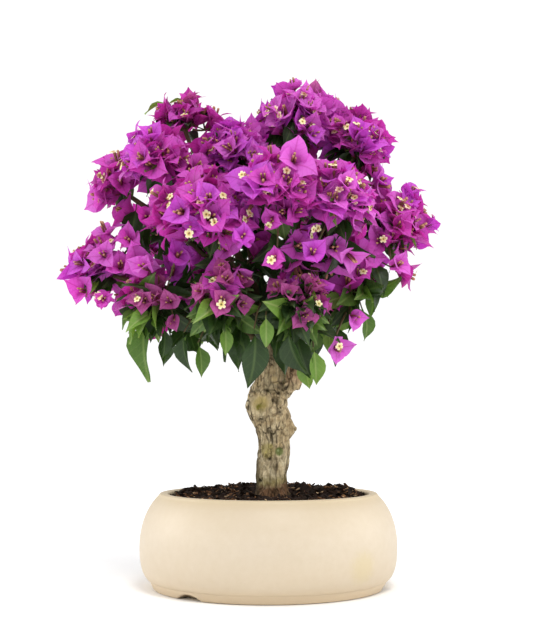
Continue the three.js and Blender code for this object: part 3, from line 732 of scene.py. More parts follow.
SOW, TWIGS, FURROWS, SCATTER = sow_tree(), twig_tree(), furrow_tree(), scatter_tree()
SHAPE_SETS = []


def shape_set(name, shapes):
    """A collection of shapes for a tree to choose from. Its objects are taken away once every piece is grown."""
    made = bpy.data.collections.new(name)
    for thing in shapes:
        for home in list(thing.users_collection):
            home.objects.unlink(thing)
        made.objects.link(thing)
    SHAPE_SETS.append(made)
    return made


def keep_values(mesh, name, values, kind="FLOAT", field="value"):
    """Gives each point of a mesh a value."""
    mesh.attributes.new(name, kind, "POINT").data.foreach_set(field, values)


def sow(name, places, shapes, finish):
    """One piece with a shape at each place: (point in mm, turn, size, which shape)."""
    points = new_mesh(name + "_points", [p[0] for p in places], [])
    keep_values(points.data, "turn", [c for p in places for c in p[1]], "FLOAT_VECTOR", "vector")
    keep_values(points.data, "size", [p[2] for p in places])
    keep_values(points.data, "shape", [p[3] for p in places], "INT")
    return grown(name, points, SOW, {"Shapes": shapes, "Finish": finish})


# ---------------------------------------------------------------- bracts, flowers and leaves
def mapped(name, points, faces, maps):
    """A mesh with its own map, given point by point."""
    thing = smooth_faces(new_mesh(name, points, faces))
    layer = thing.data.uv_layers.new(name=OWN_MAP)
    for loop in thing.data.loops:
        layer.data[loop.index].uv = maps[loop.vertex_index]
    return thing


def blade(name, length, outline, width, rows, columns, lift, fold, ripple, twist, bend=0.0):
    """A thin blade along +X with its upper side up: lift, fold and ripple are functions of the share along, and bend
    carries its tip sideways."""
    points, maps, faces = [], [], []
    x = z = 0.0
    step = length / rows
    for i in range(rows + 1):
        t = i / rows
        if i:
            slope = lift(t - 0.5 / rows)
            x += step * math.cos(slope)
            z += step * math.sin(slope)
        slope, half = lift(t), 0.5 * width * between(outline, t)
        for k in range(columns + 1):
            u = 2 * k / columns - 1
            wide = half * length
            out, rise = u * wide, abs(u) ** 1.4 * wide * fold(t) + ripple(u, t) * length
            cos, sin = math.cos(twist * t), math.sin(twist * t)
            out, rise = out * cos - rise * sin, out * sin + rise * cos
            points.append((x - rise * math.sin(slope), out + bend * t * t * length, z + rise * math.cos(slope)))
            maps.append((0.5 + u * half, t))
    wide = columns + 1
    for i in range(rows):
        faces += [(a, a + wide, a + wide + 1, a + 1) for a in range(i * wide, i * wide + columns)]
    return mapped(name, points, faces, maps)


def between(outline, t):
    """A value from a list of (share, value), smoothly joined."""
    for (a, low), (b, high) in zip(outline, outline[1:]):
        if t <= b:
            return low + (high - low) * (t - a) / (b - a)
    return outline[-1][1]


def bract_shapes():
    """Bracts that stand up from the flower's foot and open outward, +Z along the flower's axis."""
    draw, made = seeded(4507), []
    for i in range(BRACT_KINDS):
        stand, open_out, tip = 1.1 + 0.4 * draw(), 0.75 + 0.7 * draw(), 1.7 * draw() - 0.4
        cup, wave, phase, twist = 0.35 + 0.35 * draw(), 0.035 + 0.04 * draw(), SPIN * draw(), 0.9 * (draw() - 0.5)

        def ripple(u, t, w=wave, p=phase):
            return w * math.sin(8 * t + 2.6 * u + p) * abs(u) * math.sin(math.pi * min(t * 1.1, 1))

        made.append(
            blade(
                f"bract_{i:02d}", BRACT_LENGTH, BRACT_OUTLINE, BRACT_WIDTH, 8, 6,
                lift=lambda t, a=stand, b=open_out, c=tip: a - b * t - c * max(t - 0.6, 0) * 2.5,
                fold=lambda t, c=cup: c * (1.3 - 1.9 * t), ripple=ripple, twist=twist,
            )
        )
    return shape_set("bract_shapes", made)


def leaf_shapes():
    """Leaves along +X on a short stalk, with a folded blade that arches down and a drawn-out tip."""
    draw, made = seeded(9901), []
    for i in range(LEAF_KINDS):
        arch, start, tip = 0.5 + 0.7 * draw(), 0.25 * draw(), 0.5 * draw()
        cup, wave, phase, twist = 0.25 + 0.5 * draw(), 0.015 + 0.03 * draw(), SPIN * draw(), 1.0 * (draw() - 0.5)
        made.append(
            blade(
                f"leaf_{i:02d}", LEAF_LENGTH, LEAF_OUTLINE, LEAF_WIDTH, 9, 4,
                lift=lambda t, a=start, b=arch, c=tip: a - b * t + c * max(t - 0.7, 0),
                fold=lambda t, c=cup: c,
                ripple=lambda u, t, w=wave, p=phase: w * math.sin(9 * t + 2 * u + p) * abs(u),
                twist=twist, bend=0.5 * (draw() - 0.5),
            )
        )
    return shape_set("leaf_shapes", made)


def tube_shapes():
    """Flower tubes along +Z: waisted above the foot, swollen at the throat, and closed."""
    made, sides = [], TUBE_SIDES
    for i, (lean, swell) in enumerate(TUBES):
        profile = ((0, 0.75), (0.5, 0.78), (0.93, swell), (1.0, 0.75))
        points, maps = [], []
        for t, r in profile:
            for k in range(sides):
                x, y = r * TUBE_RADIUS * math.cos(TURN * k / sides), r * TUBE_RADIUS * math.sin(TURN * k / sides)
                points.append((x + lean * t * t * TUBE_LENGTH, y, t * TUBE_LENGTH))
                maps.append((k / sides, t))
        top = (len(profile) - 1) * sides
        faces = bands(len(profile), sides) + [tuple(range(top, top + sides)), tuple(reversed(range(sides)))]
        made.append(mapped(f"tube_{i}", points, faces, maps))
    return shape_set("tube_shapes", made)


def star_shapes():
    """Open flowers facing +Z: five notched lobes round a dished throat."""
    made, sides = [], STAR_SIDES
    for i, (dish, notch) in enumerate(STARS):
        points, maps, faces = [(0, 0, -0.6)], [(0.5, 0.5)], []
        for share in (0.32, 0.7, 1.0):
            for k in range(sides):
                a = TURN * k / sides
                lobe = abs(math.cos(2.5 * a)) ** 0.5
                dent = 0.95 if k % 4 == 0 else 1.0
                r = STAR_RADIUS * share * (1 - (1 - notch) * (1 - lobe) * 2 * share) * dent
                z = dish * STAR_RADIUS * (0.3 - (share - 0.6) ** 2) - 0.3 * share
                points.append((r * math.cos(a), r * math.sin(a), z))
                maps.append((0.5 + 0.5 * share * math.cos(a), 0.5 + 0.5 * share * math.sin(a)))
        for k in range(sides):
            n = (k + 1) % sides
            faces.append((0, 1 + k, 1 + n))
            for low in (1, 1 + sides):
                faces.append((low + k, low + sides + k, low + sides + n, low + n))
        made.append(mapped(f"star_{i}", points, faces, maps))
    return shape_set("star_shapes", made)


# ---------------------------------------------------------------- trunk, limbs and boughs
def station(stations, z):
    """Centre x, centre y, half width and half depth at height z, on a smooth curve through the stations."""
    k = 0
    while k < len(stations) - 2 and z > stations[k + 1][0]:
        k += 1
    a, b, c, d = stations[max(k - 1, 0)], stations[k], stations[k + 1], stations[min(k + 2, len(stations) - 1)]
    t = (z - b[0]) / (c[0] - b[0])
    found = []
    for i in range(1, 5):
        rise, fall = (c[i] - a[i]) / 2, (d[i] - b[i]) / 2
        bend = 2 * (b[i] - c[i]) + rise + fall
        found.append(b[i] + t * (rise + t * (3 * (c[i] - b[i]) - 2 * rise - fall + t * bend)))
    return found


def column(stations, low, high, spacing, burls=()):
    """Rings of an upright limb between two heights, closed at both ends."""

    def ring(z, share):
        cx, cy, half_width, half_depth = station(stations, clamp(z, stations[0][0], stations[-1][0]))

        def at(angle):
            swell = 0.0
            for burl_z, degrees, out, wide in burls:
                turn = abs(angle - math.radians(degrees)) % TURN
                around = min(turn, TURN - turn) * half_width
                swell += out * math.exp(-((math.hypot(around, z - burl_z) / wide) ** 2))
            x = cx + math.cos(angle) * (half_width + swell) * share
            return (x, cy + math.sin(angle) * (half_depth + swell) * share, z)

        return at

    steps = round((high - low) / spacing)
    rings = [ring(low, 0)] + [ring(z, 1) for z in taper(low, high, steps)] + [ring(high, 0)]
    return lathe(rings, 40)


def bough_points(mass):
    """Root, middle and tip of the bough that carries a mass."""
    stations = LEFT_LIMB if mass["centre"].x < LIMB_DIVIDE else RIGHT_LIMB
    high = clamp((mass["centre"].z - LOW_MASS) / (HIGH_MASS - LOW_MASS), 0, 1)
    z = stations[-1][0] - 4 - 18 * (1 - high)
    cx, cy, half_width, _ = station(stations, z)
    root = Vector((cx, cy, z))
    level = mass["centre"] - root
    level.z = 0
    root += level.normalized() * (half_width * 0.55)
    tip = mass["centre"] + (root - mass["centre"]).normalized() * (mass["reach"] * ENTRY)
    middle = root.lerp(tip, 0.45) + UP * ((root - tip).length * BOUGH_RISE)
    return root, middle, tip


# Pruning scars on the trunk: centre, radius, colour and how much of it shows
SCARS = [
    ((-8.5, -22.5, 183), 9.6, (212, 192, 148), 0.55),
    ((-8.0, -23.0, 183), 7.6, (180, 160, 92), 0.7),
    ((-6.5, -23.0, 187.5), 3.4, (224, 204, 108), 0.85),
    ((-8.5, -24.0, 179.5), 5.2, (112, 108, 30), 1.0),
    ((-8.5, -24.0, 178.6), 3.6, (80, 80, 18), 0.9),
    ((-1.5, -16.5, 136), 8.0, (150, 138, 72), 0.6),
    ((-2.5, -16.5, 135), 2.0, (196, 182, 110), 0.6),
    ((2.0, -16.5, 140.5), 2.4, (186, 170, 104), 0.6),
    ((10.5, -15.5, 141), 3.0, (220, 196, 150), 0.7),
    ((10.5, -15.5, 135), 4.2, (92, 110, 48), 0.85),
    ((9.5, -15.5, 136.2), 1.2, (176, 188, 136), 0.6),
    ((7.0, -16.5, 207), 5.0, (212, 184, 124), 0.5),
]
# Rings of callus on the trunk's skin: centre, radius of the ring, its width and height, and the hollow in it
CALLUSES = [
    ((-8.5, -21.5, 182), 11.5, 4.0, 2.2, -1.6),
    ((-7.0, -22.5, 177.0), 4.8, 1.6, 0.9, -1.0),
    ((10.0, -15.8, 135), 5.6, 1.8, 1.3, -0.8),
    ((-1.0, -15.8, 136), 6.5, 2.6, 1.1, 0.8),
    ((4.0, -15.0, 200), 9.0, 4.0, 1.6, 0.0),
    ((-15.0, -6.0, 196), 6.0, 3.0, 1.8, 0.4),
]
# Knobs and pits on the front of the trunk: x, z, spread and height, a pit's being less than 0
KNOBS = [
    (-1.6, 195.8, 2.0, -3.0), (-15.5, 197.5, 2.6, 2.4), (12.3, 184, 3.0, 2.4), (8, 190, 2.6, 2.0),
    (15.5, 189, 2.4, 1.8), (4.5, 176, 2.8, 1.8), (9.5, 172, 2.4, 1.6), (-6, 167, 2.6, 2.2), (-12, 168, 2.4, 1.8),
    (-14, 190, 2.6, 2.0), (-4, 192, 2.4, 1.8), (4.5, 186, 2.0, -2.0), (12.5, 178.5, 1.8, -1.8), (17, 184, 1.8, -1.8),
    (6, 181, 2.0, 1.6), (17, 196, 2.4, 1.8), (10, 193, 1.6, -1.6), (-17, 180, 2.4, 1.6), (-6, 139, 2.0, 1.5),
    (-2, 133, 1.8, 1.4), (3, 139.5, 1.8, 1.5), (-6, 130, 1.7, -2.2), (1, 127.5, 2.2, -1.6), (5, 129, 1.8, 1.2),
    (-9, 135, 1.6, -1.4), (2, 135, 1.6, 1.2), (18, 153, 2.2, 2.4), (-9, 106, 2.2, -1.8), (13, 141, 2.2, 1.4),
]
# Slits: top, bottom, half width and depth
SLITS = [
    ((3.4, -17, 206.6), (-7, -20, 198), 1.1, 2.4), ((5.4, -17, 202), (14, -15, 196.5), 1.2, 2.4),
    ((14, -15, 196.5), (21, -12, 200), 1.0, 2.0), ((26, -10.5, 222), (22, -12, 214), 1.4, 2.2),
    ((-12, -18, 165.5), (5, -20, 171), 0.9, 2.0), ((5, -20, 171), (14, -16, 176), 0.8, 1.8),
    ((13, -15, 172), (14, -14, 158), 0.7, 1.4), ((8, -15, 126), (8, -15, 116), 0.6, 1.4),
    ((-11, -11, 128), (-12, -10, 96), 1.0, 1.8), ((2.6, -12.0, 243), (3.4, -12.5, 222), 1.5, 3.2),
    ((13.5, -12.0, 214), (12.5, -14.5, 196), 1.6, 3.0), ((0.5, -18.0, 158), (3.5, -17.5, 146), 0.8, 1.6),
]
# The root flare: its top, how soon it is full, how far out it stands, and the number and turn of its lobes
FLARE_TOP, FLARE_DEPTH, FLARE_OUT, FLARE_LOBES, FLARE_TURN = 99, 8, 1.2, 5, 0.6


def carve(mesh):
    """Raises callus and knobs, cuts pits and slits, and marks where the skin is calm and where painted shade darkens
    it: in the pits and slits, and in a ring round each raised knob.
    """
    places, normals = [v.co / MM for v in mesh.vertices], [v.normal.copy() for v in mesh.vertices]
    calm, shade, knobs = [], [], []
    for x, z, wide, height in KNOBS:
        cx, cy, half_width, half_depth = station(TRUNK, z)
        y = cy - half_depth * math.sqrt(max(1 - ((x - cx) / half_width) ** 2, 0.04))
        knobs.append((Vector((x, y, z)), wide, height))
    for p, normal in zip(places, normals):
        # dark is painted shade: in the pits and slits, and in a ring round each raised knob
        push, still, dark = 0.0, 0.0, 0.0
        for centre, wide, height in knobs:
            away = (p - centre).length_squared / wide**2
            if away < 6:
                push += height * math.exp(-away)
                dark = max(dark, math.exp(-1.6 * away) if height < 0 else 0.45 * math.exp(-3 * (away - 1.8) ** 2))
        for centre, radius, width, height, hollow in CALLUSES:
            away = (p - Vector(centre)).length
            if away > radius + 3 * width:
                continue
            push += height * math.exp(-(((away - radius) / width) ** 2))
            if away < radius:
                push += hollow * smooth(1 - away / radius)
                still = max(still, smooth((radius - away) / width))
        for top, bottom, half, depth in SLITS:
            top, bottom = Vector(top), Vector(bottom)
            share = clamp((p - top).dot(bottom - top) / (bottom - top).length_squared, 0, 1)
            away = (p - top.lerp(bottom, share)).length
            cut = math.exp(-((away / half) ** 2) / 2) * math.sin(math.pi * clamp(share, 0.08, 0.92)) ** 0.5
            push -= depth * cut
            dark = max(dark, cut)
        flare = smooth((FLARE_TOP - p.z) / FLARE_DEPTH)
        lobes = math.sin(FLARE_LOBES * math.atan2(p.y, p.x - TRUNK[0][1]) + FLARE_TURN)
        push += flare * FLARE_OUT * max(lobes, -0.3)
        p += normal * push
        calm.append(0.85 * still)
        shade.append(dark)
    mesh.vertices.foreach_set("co", [c * MM for p in places for c in p])
    keep_values(mesh, "calm", calm)
    keep_values(mesh, "shade", shade)
    mesh.update()


def make_wood(finish):
    """The trunk and its two limbs grown together, with furrowed bark."""
    parts = [
        column(TRUNK, TRUNK_FOOT, FORK, 1.5, BURLS),
        column([(LIMB_ROOT, -2.2, 0, 13.2, 13.2)] + LEFT_LIMB, LIMB_ROOT, LIMB_TOP, 2),
        column([(LIMB_ROOT, 21.5, 0, 9.6, 11.0)] + RIGHT_LIMB, LIMB_ROOT, LIMB_TOP, 2),
        column(CROTCH, CROTCH[0][0], CROTCH[-1][0], 2),
    ]
    body = joined("trunk_body", parts)
    remesh = body.modifiers.new("grown together", "REMESH")
    remesh.mode, remesh.voxel_size = "VOXEL", TRUNK_STEP * MM
    softened = body.modifiers.new("softened", "SMOOTH")
    softened.factor, softened.iterations = 0.6, 6
    surface = placed("trunk_surface", evaluated(body))
    bpy.data.objects.remove(body)
    carve(surface.data)
    return smooth_faces(grown("trunk_and_limbs", surface, FURROWS, {"Finish": finish}))


def joined(name, parts):
    points, faces = [], []
    for some, these in parts:
        start = len(points)
        points += some
        faces += [tuple(i + start for i in face) for face in these]
    return new_mesh(name, points, faces)


def make_runs(name, runs, finish, sides):
    """Wood along runs, each its points in mm and how thick it is at each."""
    points, edges, thick = [], [], []
    for these, widths in runs:
        start = len(points)
        points += these
        thick += widths
        edges += [(start + i, start + i + 1) for i in range(len(these) - 1)]
    lines = new_mesh(name + "_lines", points, [], edges)
    keep_values(lines.data, "thick", [w * MM for w in thick])
    return smooth_faces(grown(name, lines, TWIGS, {"Sides": sides, "Finish": finish}))


# ---------------------------------------------------------------- growth of the crown
def spread(k, count):
    """Evenly spread directions over a sphere."""
    golden = math.pi * (3 - math.sqrt(5))
    z = 1 - (2 * (k + 0.5)) / count
    r = math.sqrt(1 - z * z)
    return Vector((r * math.cos(golden * k), r * math.sin(golden * k), z))


def tips_of(mass, masses):
    """The tips that a mass grows: blooms on its outer side, and tufts of leaves under it."""
    draw = seeded(mass["seed"])
    facing = (mass["centre"] - HEART).normalized()
    round_z = Matrix.Rotation(draw() * TURN, 3, "Z")
    tips = []
    for k in range(TIPS):
        out = (round_z @ spread(k, TIPS) + wobble(draw, 0.16)).normalized()
        depth, tilt, spin, size = draw(), wobble(draw, 0.28), draw(), draw()
        leaves = [(LEAF_LENGTH * (0.6 + 0.4 * draw()), 0.5 * draw()) for _ in range(3)]
        flowers = out.z > UNDERSIDE if mass["centre"].z > LEAFY_BELOW else out.z > 0.05 and k % 3 != 0
        sink = (BLOOM_SINK if flowers else TUFT_SINK) + depth * SINK_RANGE
        foot = mass["centre"] + out * (mass["reach"] - sink)
        buried = any(
            other is not mass and (foot - other["centre"]).length < other["reach"] * BURIED for other in masses
        )
        if out.dot(facing) < (TURNED_IN if flowers else TUFT_TURNED_IN) or buried:
            continue
        axis = (out + facing * 0.45 + tilt + UP * (0.1 if flowers else -0.6)).normalized()
        tips.append(
            {"foot": foot, "out": out, "axis": axis, "flowers": flowers, "leaves": leaves,
             "spin": spin * TURN, "size": 0.78 + 0.42 * size}
        )
    return tips


def turn_of(x, z):
    """The turn that lays a shape's +X along x and its +Z as near z as that allows."""
    x = x.normalized()
    y = z.cross(x).normalized()
    return tuple(Matrix((x, y, x.cross(y))).transposed().to_euler())


def in_open_air(point):
    return any(math.hypot(point.x - x, point.z - z) < radius for x, z, radius in OPEN_AIR)


class Crown:
    """Everything that grows on the boughs, kept as places for the trees to sow."""

    def __init__(self):
        self.bracts, self.leaves = {}, {}
        self.tubes, self.stars, self.boughs, self.twigs = [], [], [], []

    def twig(self, start, end, rise, widths, share=0.5):
        """A short twig with one bend, which stands off the straight by the rise."""
        self.twigs.append(([start, start.lerp(end, share) + rise, end], widths))

    def bloom(self, foot, axis, spin, size, tint, draw, openness=1.0):
        """Three bracts round the axis, a flower tube to each, and now and then an open flower."""
        side = axis.cross(Vector((0.11, 0.07, 1))).normalized()
        flowering = int(draw() * 3) if draw() < FLOWERING * openness else -1
        relaxed = 0.4 * (draw() - 0.5) - 0.9 * (1 - openness)
        for k in range(3):
            out = turned(side, axis, spin + TURN * k / 3 + 0.25 * (draw() - 0.5))
            lean = relaxed + 0.45 * (draw() - 0.45)
            tilted = Matrix.Rotation(lean, 3, axis.cross(out))
            turn, long = turn_of(tilted @ out, tilted @ axis), size * (0.88 + 0.24 * draw())
            bract = (foot + out * (BRACT_OFF * size), turn, long, int(draw() * BRACT_KINDS))
            self.bracts.setdefault(tint, []).append(bract)
            leaning = (axis + out * (0.14 + 0.14 * draw())).normalized()
            long = size * (0.8 + 0.35 * draw())
            self.tubes.append((foot + out * TUBE_OFF, turn_of(out, leaning), long, int(draw() * TUBE_KINDS)))
            if k == flowering or (flowering >= 0 and draw() < FLOWERING_TOO):
                head = foot + out * TUBE_OFF + leaning * (TUBE_LENGTH * long * STAR_ALONG)
                turn = turn_of(out, (leaning + wobble(draw, 0.3)).normalized())
                self.stars.append((head, turn, 0.85 + 0.3 * draw(), int(draw() * STAR_KINDS)))

    def leaf(self, foot, direction, upper, size, tint, draw, anywhere=False):
        if not anywhere and in_open_air(foot + direction.normalized() * (0.6 * size * LEAF_LENGTH)):
            return
        self.leaves.setdefault(tint, []).append((foot, turn_of(direction, upper), size, int(draw() * LEAF_KINDS)))


def tint_of(foot, draw):
    """Which tint of bract a bloom has: reddish and young low in front, else by its spray and a little chance."""
    low_front = smooth((LOW_CROWN - foot.z) / 40) * (1 if foot.y < -40 else 0.25)
    if draw() < 0.75 * low_front:
        return "young"
    cloud = noise.noise(foot * 0.022 + Vector((3.1, 7.7, 1.3))) + 0.5 * (draw() - 0.5)
    return "deep" if cloud < -0.24 else "magenta" if cloud < 0.06 else "violet" if cloud < 0.3 else "pale"


def grow_mass(crown, mass, masses):
    """A mass: its stem, a twig to each tip, the tip's bloom or tuft, and leaves along the twigs."""
    root, middle, tip = bough_points(mass)
    draw = seeded(mass["seed"] * 3 + 17)
    facing = (mass["centre"] - HEART).normalized()
    crown.boughs.append((arc((root, middle, tip), 10), taper(BOUGH_ROOT_RADIUS, BOUGH_TIP_RADIUS, 10)))
    tangent = (tip - middle).normalized()
    end = mass["centre"] + facing * (mass["reach"] * 0.1)
    stem = (tip, tip + tangent * (mass["reach"] * 0.25), end)
    crown.twigs.append((arc(stem, 6), taper(STEM_RADIUS, STEM_TIP_RADIUS, 6)))

    def budded(curve, shares, run, long, radius):
        return [{"at": bezier(*curve, t), "run": run + t * long, "radius": radius, "used": False} for t in shares]

    buds = budded(stem, STEM_BUDS, 0, mass["reach"] * 0.6, STEM_RADIUS)
    for tip in tips_of(mass, masses):
        foot = tip["foot"] - tip["out"] * ((DEEPER_BLOOM if tip["flowers"] else DEEPER_TUFT) + 8 * (draw() - 0.5))
        if in_open_air(foot) or draw() < THINNED.get(mass["name"], 0):
            continue
        free = (b for b in buds if not b["used"])
        bud = min(free, key=lambda b: (b["at"] - foot).length + RUN_COST * b["run"])
        bud["used"] = True
        length = (bud["at"] - foot).length
        middle = bud["at"].lerp(foot, 0.5) + UP * (length * TWIG_ARCH) + wobble(draw, length * 0.08)
        curve = (bud["at"], middle, foot)
        radius = max(bud["radius"] * CHILD_RADIUS, TWIG_TIP_RADIUS)
        crown.twigs.append((arc(curve, 4), taper(radius, 0.75 * TWIG_TIP_RADIUS, 4)))
        buds += budded(curve, TWIG_BUDS, bud["run"], length, radius)
        grow_tip(crown, mass, tip, curve, facing, draw)


def grow_tip(crown, mass, tip, curve, facing, draw):
    """What a twig carries: a bloom with a smaller one beside it, or a tuft of leaves, and leaves along it."""
    foot, axis = curve[2], (tip["axis"] + UP * 0.1 + wobble(draw, 0.35)).normalized()
    ahead = (curve[2] - curve[1]).normalized()
    side = ahead.cross(UP).normalized() if abs(ahead.z) < 0.98 else Vector((1, 0, 0))
    low = smooth((LOW_CROWN - foot.z) / 60)
    high = mass["centre"].z > LEAFY_BELOW
    flowers = tip["flowers"] or (high and draw() < 0.9)
    if mass["name"] == LEAFY_MASS and draw() < LEAFY_MORE:
        flowers = False
    if not flowers and tip["out"].z < SPARSE_BELOW and draw() < SPARSE_SHARE:
        return
    if flowers:
        tint = tint_of(foot, draw)
        young = tint == "young"
        openness = 0.7 if young else 0.8 + 0.3 * draw()
        axis = (axis + UP * (1.3 * smooth(-1.6 * tip["out"].z))).normalized()
        if not tip["flowers"]:
            axis = (axis + UP * 0.35 + facing * 0.6).normalized()
        size = (tip["size"] - 0.13) * (0.74 if young else 1.0)
        crown.bloom(foot, axis, tip["spin"], size, tint, draw, openness)
        for n in range(int(draw() * COMPANIONS + 0.6)):
            start = bezier(*curve, 0.78 - 0.2 * n)
            out = (turned(side, ahead, tip["spin"] + 1.0 + 2.6 * n) + axis * 0.35 + UP * 0.1).normalized()
            end = start + out * (10 + 9 * draw())
            if in_open_air(end):
                continue
            crown.twig(start, end, UP * 0.8, [0.8, 0.7, 0.65])
            facing_out = (out * 0.8 + axis + wobble(draw, 0.4)).normalized()
            spin, size = SPIN * draw(), (0.58 + 0.26 * draw()) * (0.84 if young else 1)
            crown.bloom(end, facing_out, spin, size, tint, draw, openness)
    spots = (0.72, 0.6) if flowers else (1.0, 0.93, 0.82, 0.7)
    count = int(draw() < 0.4) if flowers else 3
    for n in range(count):
        out = turned(side, ahead, tip["spin"] + 2.4 * n + 0.8 * draw())
        length, lift = tip["leaves"][n % 3]
        hang = (0.3 + 0.5 * low if flowers else 0.4 + 1.1 * low) * (0.3 + 1.2 * draw())
        direction = (out + ahead * (0.2 + lift) - UP * hang + facing * 0.2).normalized()
        outward = (facing - FRONT * min(facing.y, 0)) * (0.3 + 1.2 * low)
        upper = (UP * (1 - 0.8 * low) + outward + wobble(draw, 0.4)).normalized()
        tint = leaf_tint(low, draw)
        base, size = bezier(*curve, spots[n]), length / LEAF_LENGTH * (0.8 if flowers else 1.12)
        end = base + direction * (size * LEAF_LENGTH)
        if end.z < LOWEST + 8 * draw() or (high and (end - mass["centre"]).length > mass["reach"] * 0.95):
            continue
        crown.leaf(base, direction, upper, size, tint, draw)
    share = 0.2 + 0.45 * draw()
    out = turned(side, ahead, SPIN * draw())
    direction = (out + ahead * 0.3 - UP * (0.1 + 0.5 * low)).normalized()
    base, size = bezier(*curve, share), 0.65 + 0.3 * draw()
    end = base + direction * (size * LEAF_LENGTH)
    if end.z > LOWEST and not (high and (end - mass["centre"]).length > mass["reach"] * 0.9):
        crown.leaf(base, direction, (UP + wobble(draw, 0.6)).normalized(), size, "dark", draw)


def stand_alone(crown, masses):
    """The blooms and leaves that stand by themselves, and the long leaves that hang clear below the crown."""
    draw = seeded(8117)
    centres = {m["name"]: m["centre"] for m in masses}
    for x, y, z, facing, turn, size, openness, tint, carrier in LONE_BLOOMS:
        foot, axis = Vector((x, y, z)), Vector(facing).normalized()
        start = foot.lerp(centres[carrier], 0.7)
        middle = start.lerp(foot, 0.6) - axis * 4
        crown.twigs.append((arc((start, middle, foot), 4), [1.2, 1.1, 1.0, 0.9, 0.8]))
        crown.bloom(foot, axis, turn, size, tint, draw, openness)
    for x, y, z, way, length, tint in LONE_LEAVES:
        foot = Vector((x, y, z))
        crown.twig(foot + Vector((8, 2, -16)), foot, Vector((2, 0, 2)), [1.0, 0.8, 0.7])
        crown.leaf(foot, Vector(way), Vector((-0.3, -0.4, 1)), length / LEAF_LENGTH, tint, draw, True)
    for x, y, z, lean, length, turn, tint in HANGING:
        foot = Vector((x, y, z))
        crown.twig(foot + Vector((-0.15 * x + 4, -0.2 * y + 6, 26)), foot, Vector((0, -3, 3)), [1.0, 0.8, 0.7])
        down = Vector((lean, -0.12, -1)).normalized()
        crown.leaf(foot, down, Vector((turn, -1, 0.3)), length / LEAF_LENGTH, tint, draw, True)


def leaf_tint(low, draw):
    chance = draw()
    return "light" if chance < 0.12 + 0.16 * low else "mid" if chance < 0.6 else "dark"


def grow_inside(crown, mass, draw):
    """Shaded leaves along a bough and about its mass's stem, so that little sky shows through the crown."""
    root, middle, tip = bough_points(mass)
    for n in range(INNER_LEAVES):
        t = 0.35 + 0.65 * (n + draw()) / INNER_LEAVES
        out = (spread(n, INNER_LEAVES) + wobble(draw, 0.3)).normalized()
        start = bezier(root, middle, tip, t)
        upper = (UP + wobble(draw, 0.7)).normalized()
        end = start + out * (4 + 12 * draw())
        crown.twig(start, end, UP * 0.5, [0.9, 0.7, 0.6], 0.6)
        crown.leaf(end, (out - UP * 0.25).normalized(), upper, 0.8 + 0.3 * draw(), "dark", draw)
    away = (mass["centre"] - HEART).normalized()
    for n in range(INNER_BLOOMS if mass["centre"].z > LEAFY_BELOW else 0):
        t = 0.5 + 0.5 * (n + draw()) / INNER_BLOOMS
        out = (spread(n, INNER_BLOOMS) * 0.8 + away * 0.3 + wobble(draw, 0.3)).normalized()
        start = bezier(root, middle, tip, t)
        end = start + out * (20 + 14 * draw())
        if in_open_air(end):
            continue
        crown.twig(start, end, UP * 2, [1.2, 0.9, 0.8])
        axis, spin, size = (out + wobble(draw, 0.3)).normalized(), SPIN * draw(), 0.7 + 0.3 * draw()
        crown.bloom(end, axis, spin, size, tint_of(end, draw), draw, 0.95)


# ---------------------------------------------------------------- bowl and soil
def bowl_radius(z):
    if z >= BELLY_HEIGHT:
        rise = (z - BELLY_HEIGHT) / SHOULDER_RISE
        return BELLY_RADIUS - SHOULDER_DEPTH * (1 - math.sqrt(1 - rise * rise))
    drop = (BELLY_HEIGHT - z) / HEEL_DROP
    return BELLY_RADIUS - HEEL_DEPTH * (1 - (1 - drop**HEEL_POWER) ** (1 / HEEL_POWER))


def notch_lift(angle, r, z):
    """How high the bowl's underside stands off the table at a place on its foot."""
    best = 0.0
    for i in range(NOTCH_COUNT):
        turn = (angle - math.radians(FIRST_NOTCH_DEG + 360 / NOTCH_COUNT * i) + math.pi) % TURN - math.pi
        away = abs(turn) * r / (NOTCH_WIDTH / 2)
        if away < 1:
            open_here = smooth((r - FOOT_RADIUS + NOTCH_DEPTH / 2 + 1) / 2.5)
            best = max(best, NOTCH_HEIGHT * (1 - away * away) * open_here)
    return max(z, best)


